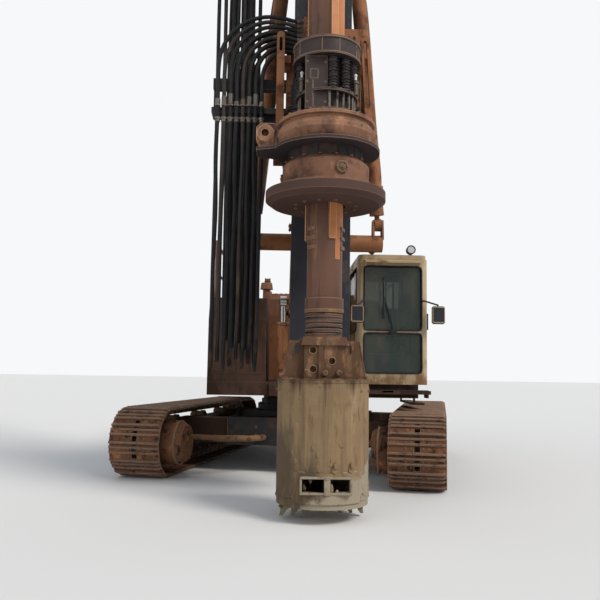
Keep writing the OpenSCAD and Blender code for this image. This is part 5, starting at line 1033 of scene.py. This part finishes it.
def add_kelly():
    seams, stops, spring, keys_and_highlight = shapes(4)
    for a in KEY_ANGLES:
        for d in (-12.5, 12.5):
            seams.weld([around(a + d, 0.189, 2.88), around(a + d, 0.189, 15.0)], 0.005)
        for k in range(3):
            seams.weld([around(a - 70 + d, 0.206, 2.787 + 0.1 * k) for d in (-14, 14)])
        m = shift(AXIS, 0, 0) @ spin(a, "Z")
        for k in range(8):
            z = 2.873 + 1.515 * k
            keys_and_highlight.box((0.200, -0.0405, z), (0.2125, 0.0405, z + 1.512), m, 0.003)
        # Beside the first key only: the bar's lit side, a painted highlight
        if a == KEY_ANGLES[0]:
            add_highlight_skin(keys_and_highlight, m, 2.66, 3.015, 20)
            add_highlight_skin(keys_and_highlight, m, 3.015, 14.95, 50)
    for k in range(4):
        seams.weld(circle(0.189, 4.6 + 2.6 * k, 8), 0.004)
    stops.ring([(0.17, 0.0), (0.205, 0.0), (0.208, 0.02), (0.208, 0.03), (0.17, 0.03)], shift(AXIS, 0, 2.10), 40)
    spring.tube([(AXIS + x, y, z) for x, y, z in helix(0.182, 1.868, 2.078, 5, 32)], 0.0155)
    piece("kelly_key_faces_and_highlight", keys_and_highlight, "outer_kelly", "kelly_key")
    piece("kelly_seams", seams, "outer_kelly", "kelly_steel")
    piece("kelly_spring_coil", spring, "core_kelly", "spring_steel")
    piece("kelly_ring", stops, "core_kelly", "head_steel")


add_kelly()


# Cab

def gasket(shape, a, b, axis, bend=0.05):
    """Rubber round a window: a and b are its opposite corners in a plane square to axis."""
    u, v = [i for i in range(3) if i != axis]
    pts = []
    for s, (cu, cv) in enumerate(((a[u], a[v]), (b[u], a[v]), (b[u], b[v]), (a[u], b[v]))):
        for t in (180, 225, 270):
            p = [0, 0, 0]
            p[axis] = a[axis]
            p[u] = cu + bend * (1 if cu == min(a[u], b[u]) else -1) + bend * cosd(90 * s + t)
            p[v] = cv + bend * (1 if cv == min(a[v], b[v]) else -1) + bend * sind(90 * s + t)
            pts.append(p)
    shape.tube(pts + pts[:1], 0.012, 6)


def add_cab():
    trim, inside, lamps, white, mirrors, yellow = shapes(6)
    x0, x1, y0, y1, z0, z1 = 0.05, 1.73, 0.63, 1.63, 1.32, 3.16
    for a, b, axis in (((x1 + 0.002, y0 + 0.09, z0 + 0.16), (x1 + 0.002, y1 - 0.09, z0 + 0.72), 0),
                       ((x1 + 0.002, y0 + 0.09, z0 + 0.76), (x1 + 0.002, y1 - 0.09, z1 - 0.17), 0),
                       ((x0 + 0.12, y0 - 0.002, z0 + 0.76), (x1 - 0.14, y0 - 0.002, z1 - 0.17), 1),
                       ((x0 - 0.002, y0 + 0.12, z0 + 0.80), (x0 - 0.002, y1 - 0.12, z1 - 0.17), 0)):
        gasket(trim, a, b, axis)
    # Wiper on the upper front window
    trim.tube([(x1 + 0.02, 1.13, z0 + 0.745), (x1 + 0.03, 1.10, z0 + 0.90), (x1 + 0.022, 1.00, z0 + 1.25)], 0.008, 6)
    trim.box((x1 + 0.008, 0.985, z0 + 0.92), (x1 + 0.022, 1.005, z0 + 1.52))
    trim.box((x1 + 0.002, 1.08, z0 + 0.71), (x1 + 0.05, 1.18, z0 + 0.77))
    # Floor mat, console, pedals, armrests with levers, screen
    inside.box((0.35, 0.72, 1.385), (1.60, 1.54, 1.395))
    inside.box((1.42, 0.80, 1.395), (1.60, 1.46, 1.72), cut=0.03)
    inside.box((1.36, 0.86, 1.70), (1.60, 1.40, 1.76), cut=0.02)
    for y in (0.95, 1.27):
        inside.box((1.26, y - 0.05, 1.42), (1.44, y + 0.05, 1.44), cut=0.01)
        inside.tube([(1.34, y, 1.44), (1.33, y, 1.62)], 0.012)
    for y in (0.82, 1.44):
        inside.box((0.34, y - 0.06, 1.90), (0.84, y + 0.06, 2.02), cut=0.02)
        inside.box((0.36, y - 0.05, 1.44), (0.60, y + 0.05, 1.90), cut=0.02)
        inside.tube([(0.76, y, 2.02), (0.77, y, 2.10)], 0.022, 12)
        inside.tube([(0.77, y, 2.10), (0.775, y, 2.17), (0.78, y, 2.21)], [0.018, 0.026, 0.016], 12)
    inside.box((1.44, 0.70, 2.05), (1.49, 0.90, 2.34), cut=0.01)
    inside.tube([(1.46, 0.74, 1.76), (1.46, 0.75, 2.06)], 0.012)
    # Handle and latch of the door
    trim.tube([(1.42, 1.655, 2.10), (1.42, 1.69, 2.12), (1.42, 1.69, 2.34), (1.42, 1.655, 2.36)], 0.011)
    trim.box((1.36, 1.648, 2.0), (1.50, 1.662, 2.08))
    # Roof: lamps in front, cooling unit, round lamp behind
    for y in (0.85, 1.41):
        m = facing((1.62, y, z1 + 0.095), AHEAD)
        lamps.lathe([(0.055, 0.002), (0.05, 0.010), (0.03, 0.014), (0.0, 0.012)], m)
        trim.ring([(0.054, -0.004), (0.066, -0.004), (0.066, 0.016), (0.056, 0.018)], m)
    white.box((0.32, 0.82, z1 + 0.002), (0.95, 1.44, z1 + 0.07), cut=0.03)
    for k in range(7):
        white.box((0.38 + 0.08 * k, 0.88, z1 + 0.07), (0.42 + 0.08 * k, 1.38, z1 + 0.082))
    m = shift(0.30, 0.78, z1)
    lamps.lathe([(0.05, 0.03), (0.048, 0.12), (0.03, 0.148), (0.0, 0.15)], m, 20)
    trim.lathe([(0.06, 0), (0.06, 0.03), (0.05, 0.032)], m, 20)
    # Mirrors: pale frame round the face
    for y in (0.61, 1.75):
        white.tube([(1.8605, y + dy, z) for dy, z in (
            (-0.075, 2.19), (-0.082, 2.21), (-0.082, 2.385), (-0.072, 2.405), (0.072, 2.405), (0.082, 2.385),
            (0.082, 2.205), (0.072, 2.188), (-0.075, 2.19))], 0.009, 6)
        mirrors.box((1.815, y - 0.07, 2.195), (1.8195, y + 0.07, 2.395), cut=0.002)
    # Step: grating bars, edge lamp
    for k in range(16):
        trim.box((1.75 + 0.010 * k, 0.66, 1.241), (1.754 + 0.010 * k, 1.60, 1.247), cut=0.001)
    yellow.box((1.872, 0.95, 1.205), (1.900, 1.12, 1.245), cut=0.01)
    piece("cab_trim", trim, "upper", "black_trim")
    piece("cab_inside", inside, "upper", "black_trim")
    piece("cab_lamps", lamps, "upper", "lamp_lens")
    piece("cab_roof_unit", white, "upper", "cab_paint")
    piece("cab_mirror_faces", mirrors, "upper", "mirror")
    piece("cab_step_lamp", yellow, "upper", "yellow_lamp")


add_cab()


# Mast

def add_mast():
    welds, plates, ladder, lines, head = shapes(5)
    row = [2.80 + 0.10 * k for k in range(6)]
    for z in (6.6, 13.8):
        for way in (UP, DOWN):
            plates.bolts(row, (-0.332, 0.332), (z + 0.03 * way[2],), way, 0.016)
    for s, x, (z0, z1) in product(SIDES, (2.745, 3.355), ((1.3, 6.5), (6.7, 13.7), (13.9, 19.9))):
        welds.weld([(x, s * 0.311, z0 + (z1 - z0) * k / 12) for k in range(13)])
    # Stiffeners across the back, apart from where winches and pins sit
    for k in range(14):
        z = 1.9 + 1.3 * k
        if all(abs(z - at) >= gap for at, gap in ((MAIN_Z, 0.7), (AUX_Z, 0.6), (3.3, 0.6))):
            plates.box((2.722, -0.28, z), (2.741, 0.28, z + 0.05))
    # Steps up the left side
    for k in range(36):
        z = 8.0 + 0.33 * k
        ladder.tube([(2.82, 0.30, z), (2.82, 0.47, z), (3.07, 0.47, z), (3.07, 0.30, z)], 0.011, 6)
    # Pipes down the right side with their clamps
    for x in (2.86, 2.92, 2.98):
        lines.tube([(x, -0.333, 7.4), (x, -0.333, 19.7)], 0.013)
    for k in range(10):
        z = 7.8 + 1.28 * k
        plates.box((2.83, -0.35, z), (3.01, -0.309, z + 0.04))
        plates.bolts((2.84, 3.00), (-0.35,), (z + 0.02,), (0, -1, 0), 0.009)
    # Pin caps of the head's sheaves, and a small cap on its top
    for x, s in product(HEAD_X, SIDES):
        head.lathe([(0.085, 0.0), (0.085, 0.02), (0.06, 0.03), (0.06, 0.045), (0.02, 0.05)],
                   facing((x, s * 0.302, HEAD_Z), (0, s, 0)), 20)
        head.bolt_circle((x, s * 0.322, HEAD_Z), (0, s, 0), 0.07, 6, 0.010)
    head.lathe([(0.03, 0.0), (0.03, 0.008)], shift(3.10, 0.0, 20.695), 12)
    piece("mast_welds", welds, "mast", "paint_dark")
    piece("mast_plates", plates, "mast", "paint_dark")
    piece("mast_steps", ladder, "mast", "paint_dark")
    piece("mast_pipes", lines, "mast", "black_trim")
    piece("mast_head_caps", head, "mast", "paint_body")


add_mast()


# Boom, cylinders and pins

def square_to(way, hint):
    """The part of a hint that is square to a way, with length one."""
    hint = Vector(hint)
    return (hint - way * hint.dot(way)).normalized()


def add_boom():
    boom = Shape()
    slope = atan2(1.1, 1.5)
    ca, sa = cos(slope), sin(slope)

    def on_boom(y, *points):
        """Places at distances along the boom and above its middle line."""
        return [(0.45 + s * ca - n * sa, y, 1.75 + s * sa + n * ca) for s, n in points]

    for side in SIDES:
        y = side * 0.191
        boom.weld(on_boom(y, (0.12, 0.10), (0.47, 0.158), (1.4, 0.158), (1.78, 0.10)))
        boom.weld(on_boom(y, (0.12, -0.10), (0.55, -0.183), (1.33, -0.183), (1.78, -0.10)))
        for n in (0.04, 0.07):
            boom.pipe(on_boom(y + side * 0.02, (0.35, n), (0.9, n + 0.01), (1.5, n)), 0.011)
        for at in on_boom(y + side * 0.014, (0.45, 0.05), (0.95, 0.05), (1.4, 0.05)):
            boom.box((-0.02, -0.012, -0.03), (0.02, 0.012, 0.06), shift(*at) @ Matrix.Rotation(-slope, 4, "Y"))
    piece("boom_welds", boom, "boom_arm", "paint_body")


def add_cylinders():
    """Gland nuts, ports, bands and pipes of the mast's and the boom's cylinders."""
    mast, luff = shapes(2)
    for side in SIDES:
        a = Vector((2.2, side * 0.84, 3.48))
        way = (Vector((2.68, side * 0.40, 7.70)) - a).normalized()
        m = facing(a + way * 3.262, way)
        mast.ring([(0.064, -0.05), (0.103, -0.05), (0.108, -0.03), (0.108, 0.0), (0.09, 0.012), (0.064, 0.012)], m, 28)
        mast.bolt_circle(m.translation, way, 0.098, 10, 0.009)
        out = square_to(way, (-0.6, side * 0.8, 0))
        mast.pipe([a + way * s + out * n for s, n in ((0.5, 0.095), (0.55, 0.125), (1.4, 0.125), (3.10, 0.125),
                                                      (3.15, 0.10))])
        mast.box((-0.04, -0.04, 0), (0.04, 0.04, 0.05), facing(a + way * 0.5 + out * 0.085, out), 0.008)
        mast.box((-0.035, -0.035, 0), (0.035, 0.035, 0.04), facing(a + way * 3.15 + out * 0.085, out), 0.008)
        for s in (0.9, 1.7, 2.5):
            mast.collar(0.098, 0.103, -0.012, 0.012, facing(a + way * s, way), 28)
        a = Vector((1.25, side * 0.42, 1.42))
        way = (Vector((1.458, side * 0.42, 2.489)) - a).normalized()
        luff.ring([(0.05, -0.03), (0.082, -0.03), (0.086, -0.02), (0.086, 0.0), (0.05, 0.008)],
                  facing(a + way * 0.78, way))
        out = square_to(way, (1, side * 0.2, 0))
        luff.pipe([a + way * s + out * n for s, n in ((0.2, 0.078), (0.25, 0.1), (0.65, 0.1), (0.7, 0.08))], 0.010)
    piece("mast_cylinder_fittings", mast, "mast_cylinders", "paint_body")
    piece("luff_cylinder_fittings", luff, "luff_barrels", "paint_body")


def add_pins():
    """The round caps on the pins' ends, with their bolts."""
    for body, pins in (("upper", ((0.45, 0.275, 1.75, 0.055), (0.10, 0.35, 2.45, 0.055), (1.25, 0.48, 1.42, 0.04))),
                       ("boom_arm", ((1.458, 0.47, 2.489, 0.04),)),
                       ("triangle_frame", ((1.60, 0.35, 3.55, 0.055), (2.20, 0.90, 3.48, 0.038))),
                       ("mast", ((2.55, 0.295, 3.22, 0.06), (2.68, 0.48, 7.70, 0.028)))):
        caps = Shape()
        for (x, y, z, r), side in product(pins, SIDES):
            m = facing((x, side * y, z), (0, side, 0))
            caps.lathe([(r * 1.22, 0.0005), (r * 1.22, 0.007), (r * 1.12, 0.011), (r * 0.2, 0.011), (r * 0.14, 0.006)],
                       m, 28)
            caps.bolt_circle(m @ Vector((0, 0, 0.011)), (0, side, 0), r * 0.66, 3, r * 0.18, 30)
        piece("pin_caps_" + body, caps, body, "steel")


add_boom()
add_cylinders()
add_pins()


# Upper carriage: house, boxes, counterweight

def add_upper():
    metal, dark, rails = shapes(3)
    x0, x1, z0, roof = -3.855, -1.745, 1.32, 2.85
    for s in SIDES:
        y = s * 1.451
        for x in (x0 + 0.05, x1 - 0.05):
            metal.weld([(x, y, z0 + 0.05), (x, y, roof - 0.05)], 0.004)
        metal.bolts([x0 + 0.06 + 0.248 * k for k in range(9)], (y,), (roof - 0.05, z0 + 0.045), (0, s, 0), 0.011)
        metal.bolts([-3.7 + 0.42 * k for k in range(12)], (s * 1.501,), (1.225,), (0, s, 0), 0.012)
    # Roof: hatches with handles, bands of the exhaust, grille bars on the hood
    for x, y, w, d in ((-2.2, 0.9, 0.55, 0.5), (-3.1, 0.9, 0.7, 0.5), (-2.35, -1.05, 0.5, 0.35)):
        dark.box((x - w / 2, y - d / 2, roof - 0.002), (x + w / 2, y + d / 2, roof + 0.022), cut=0.01)
        metal.pipe([(x + dx, y, roof + dz) for dx, dz in ((-0.08, 0.02), (-0.07, 0.06), (0.07, 0.06), (0.08, 0.02))],
                   0.008)
    for k in range(5):
        dark.collar(0.066, 0.074, 0, 0.012, shift(x0 + 0.52, -0.75, roof + 0.36 + 0.045 * k))
    dark.collar(0.096, 0.106, 0, 0.03, shift(x0 + 0.52, -0.75, roof + 0.06), 28)
    for k in range(12):
        y = -0.55 + 0.1 * k
        dark.box((-3.45, y - 0.02, roof + 0.149), (-2.15, y + 0.02, roof + 0.162))
    # Counterweight: plate bolts
    dark.bolts((-4.62,), (-0.9, 0, 0.9), (2.05,), BACK, 0.04)
    # Tank box: caps, latches, seams
    for x in (-1.215, -0.315):
        dark.lathe([(0.07, -0.03), (0.07, 0.0), (0.06, 0.012), (0.02, 0.016)], shift(x, -1.07, 2.644), 28)
        dark.box((x - 0.06, -1.078, 2.645), (x + 0.06, -1.062, 2.67), cut=0.005)
    for x, z in product((-1.3, -0.4, 0.5), (1.42, 2.42)):
        metal.box((x - 0.03, -1.512, z), (x + 0.03, -1.498, z + 0.08))
    for a, b in (((-1.70, 2.53), (1.26, 2.53)), ((-1.70, 1.34), (1.38, 1.34)), ((-0.72, 1.34), (-0.72, 2.53)),
                 ((0.28, 1.34), (0.28, 2.53))):
        metal.weld([(x, -1.501, z) for x, z in (a, b)], 0.004)
    # Treads of the walkways
    for count, near, far in ((40, -1.42, -0.72), (21, 1.12, 1.44)):
        for k in range(count):
            x = -1.62 + 0.07 * k
            rails.box((x, near, 2.549), (x + 0.03, far, 2.557), cut=0.002)
    piece("house_bolts", metal, "upper", "paint_body")
    piece("house_hatches", dark, "upper", "paint_dark")
    piece("walkway_treads", rails, "upper", "paint_dark")


def add_house_doors():
    x0, x1 = -3.46, -2.14
    for side, name in NAMED_SIDES:
        door = Shape()
        y = side * 1.452
        for k in range(7):
            z = 1.675 + 0.1 * k
            rows = ((0, 0.012, 0.018, 0.03), (0, 0.006, 0.021, 0.025))
            door.add([p for near, top, far, low in rows for p in (
                (x0, y + near, z - top), (x1, y + near, z - top), (x1, y + side * far, z - low),
                (x0, y + side * far, z - low))],
                [(0, 1, 2, 3), (7, 6, 5, 4), (3, 2, 6, 7), (0, 3, 7, 4), (1, 5, 6, 2), (0, 4, 5, 1)])
        door.pipe([(-1.98, y + side * dy, z) for dy, z in ((0, 1.95), (0.04, 1.97), (0.04, 2.11), (0, 2.13))], 0.010)
        door.box((-2.03, y - side * 0.004, 1.84), (-1.93, y + side * 0.012, 1.90))
        piece("house_door_louvres_" + name, door, name + "_house_door", "paint_body")


def add_engine():
    engine = Shape()
    for k, s in product(range(6), SIDES):
        x = -3.3 + 0.19 * k
        engine.lathe([(0.07, 0), (0.07, 0.05), (0.05, 0.07), (0.02, 0.07)], facing((x, s * 0.50, 2.1), (0, s, 0)), 16)
        engine.pipe([(x, s * 0.50, 1.6), (x, s * 0.56, 1.62), (x + 0.05, s * 0.56, 1.9), (x + 0.05, s * 0.52, 2.0)],
                    0.014)
    engine.lathe([(0.1, 0), (0.1, 0.5), (0.08, 0.53)], facing((-3.0, 0.62, 1.75), AHEAD), 20)
    piece("engine_parts", engine, "upper", "steel")


add_upper()
add_house_doors()
add_engine()


# Carbody: ring bolts, welds, plate bolts

def add_carbody():
    shape = Shape()
    shape.bolt_circle((0, 0, 0.965), UP, 0.765, 30, 0.014)
    for s, x in product(SIDES, (-1.3237, -0.9163, 0.9163, 1.3237)):
        shape.weld([UNDER @ Vector((x, s * 0.93, z)) for z in (0.41, 0.79)])
    for y, z in product((-0.5, 0, 0.5), (0.66, 0.54)):
        shape.bolt(UNDER @ Vector((1.322, y, z)), UNDER @ Vector(AHEAD), 0.02)
    piece("carbody_bolts", shape, "undercarriage", "paint_dark")


add_carbody()


# Sled: bolts, pipes to the motors, grease lines

def add_sled():
    metal, lines = shapes(2)
    for s in SIDES:
        metal.bolts((3.501,), (s * 0.40,), (4.03, 4.09, 4.15), AHEAD, 0.014)
        metal.bolts((3.661,), (s * 0.525,), (4.02, 4.08, 4.14), AHEAD, 0.014)
        metal.bolts((3.561,), (s * 0.395,), [4.45 + 0.13 * k for k in range(8)], AHEAD, 0.012)
        for y, z in ((0.352, 4.2), (0.438, 4.35)):
            metal.weld([(3.561, s * y, z), (3.561, s * y, 5.38)])
        x, y = 3.70, s * 0.30
        for z in (4.205, 4.50):
            metal.bolt_circle((x, y, z), UP, 0.114, 8, 0.011)
        right = [(x, y, 4.93), (x - 0.01, -0.25, 5.02), (x - 0.03, -0.21, 5.10)]
        left = [(x, y, 4.95), (x, 0.12, 5.05), (x - 0.01, -0.05, 5.16), (x - 0.02, -0.175, 5.18)]
        lines.pipe([(x, y, 4.85)] + (right if s < 0 else left), 0.020)
        lines.pipe([(x + 0.05, y, 4.70), (x + 0.10, y, 4.78), (x + 0.05, y - s * 0.04, 4.96),
                    (x, -0.20 + 0.03 * s, 5.10)], 0.014)
    for y in (0.24, 0.30, 0.36):
        lines.pipe([(3.562, y, 5.46), (3.62, y, 5.40), (3.66, y + 0.02, 5.0), (3.64, y + 0.02, 4.6)], 0.010)
    metal.bolts((3.781,), (-0.21,), [5.14 + 0.055 * k for k in range(8)], AHEAD, 0.013)
    piece("sled_bolts", metal, "drive", "head_steel")
    piece("motor_lines", lines, "drive", "hose_rubber")


add_sled()


# Lamps on the mast

def add_lamps():
    lamp, lens = shapes(2)
    for s in (1, -1):
        at = (3.02, s * 0.40, 6.9)
        m = facing(at, (0.9, s * 0.1, -0.35))
        lamp.lathe([(0.03, -0.06), (0.07, -0.045), (0.085, 0.0), (0.085, 0.03), (0.078, 0.036)], m)
        lens.lathe([(0.076, 0.030), (0.05, 0.038), (0.0, 0.042)], m)
        lamp.tube([at, (3.02, s * 0.33, 6.9)], 0.012)
    piece("work_lamps", lamp, "mast", "black_trim")
    piece("work_lamp_lenses", lens, "mast", "lamp_lens")


add_lamps()
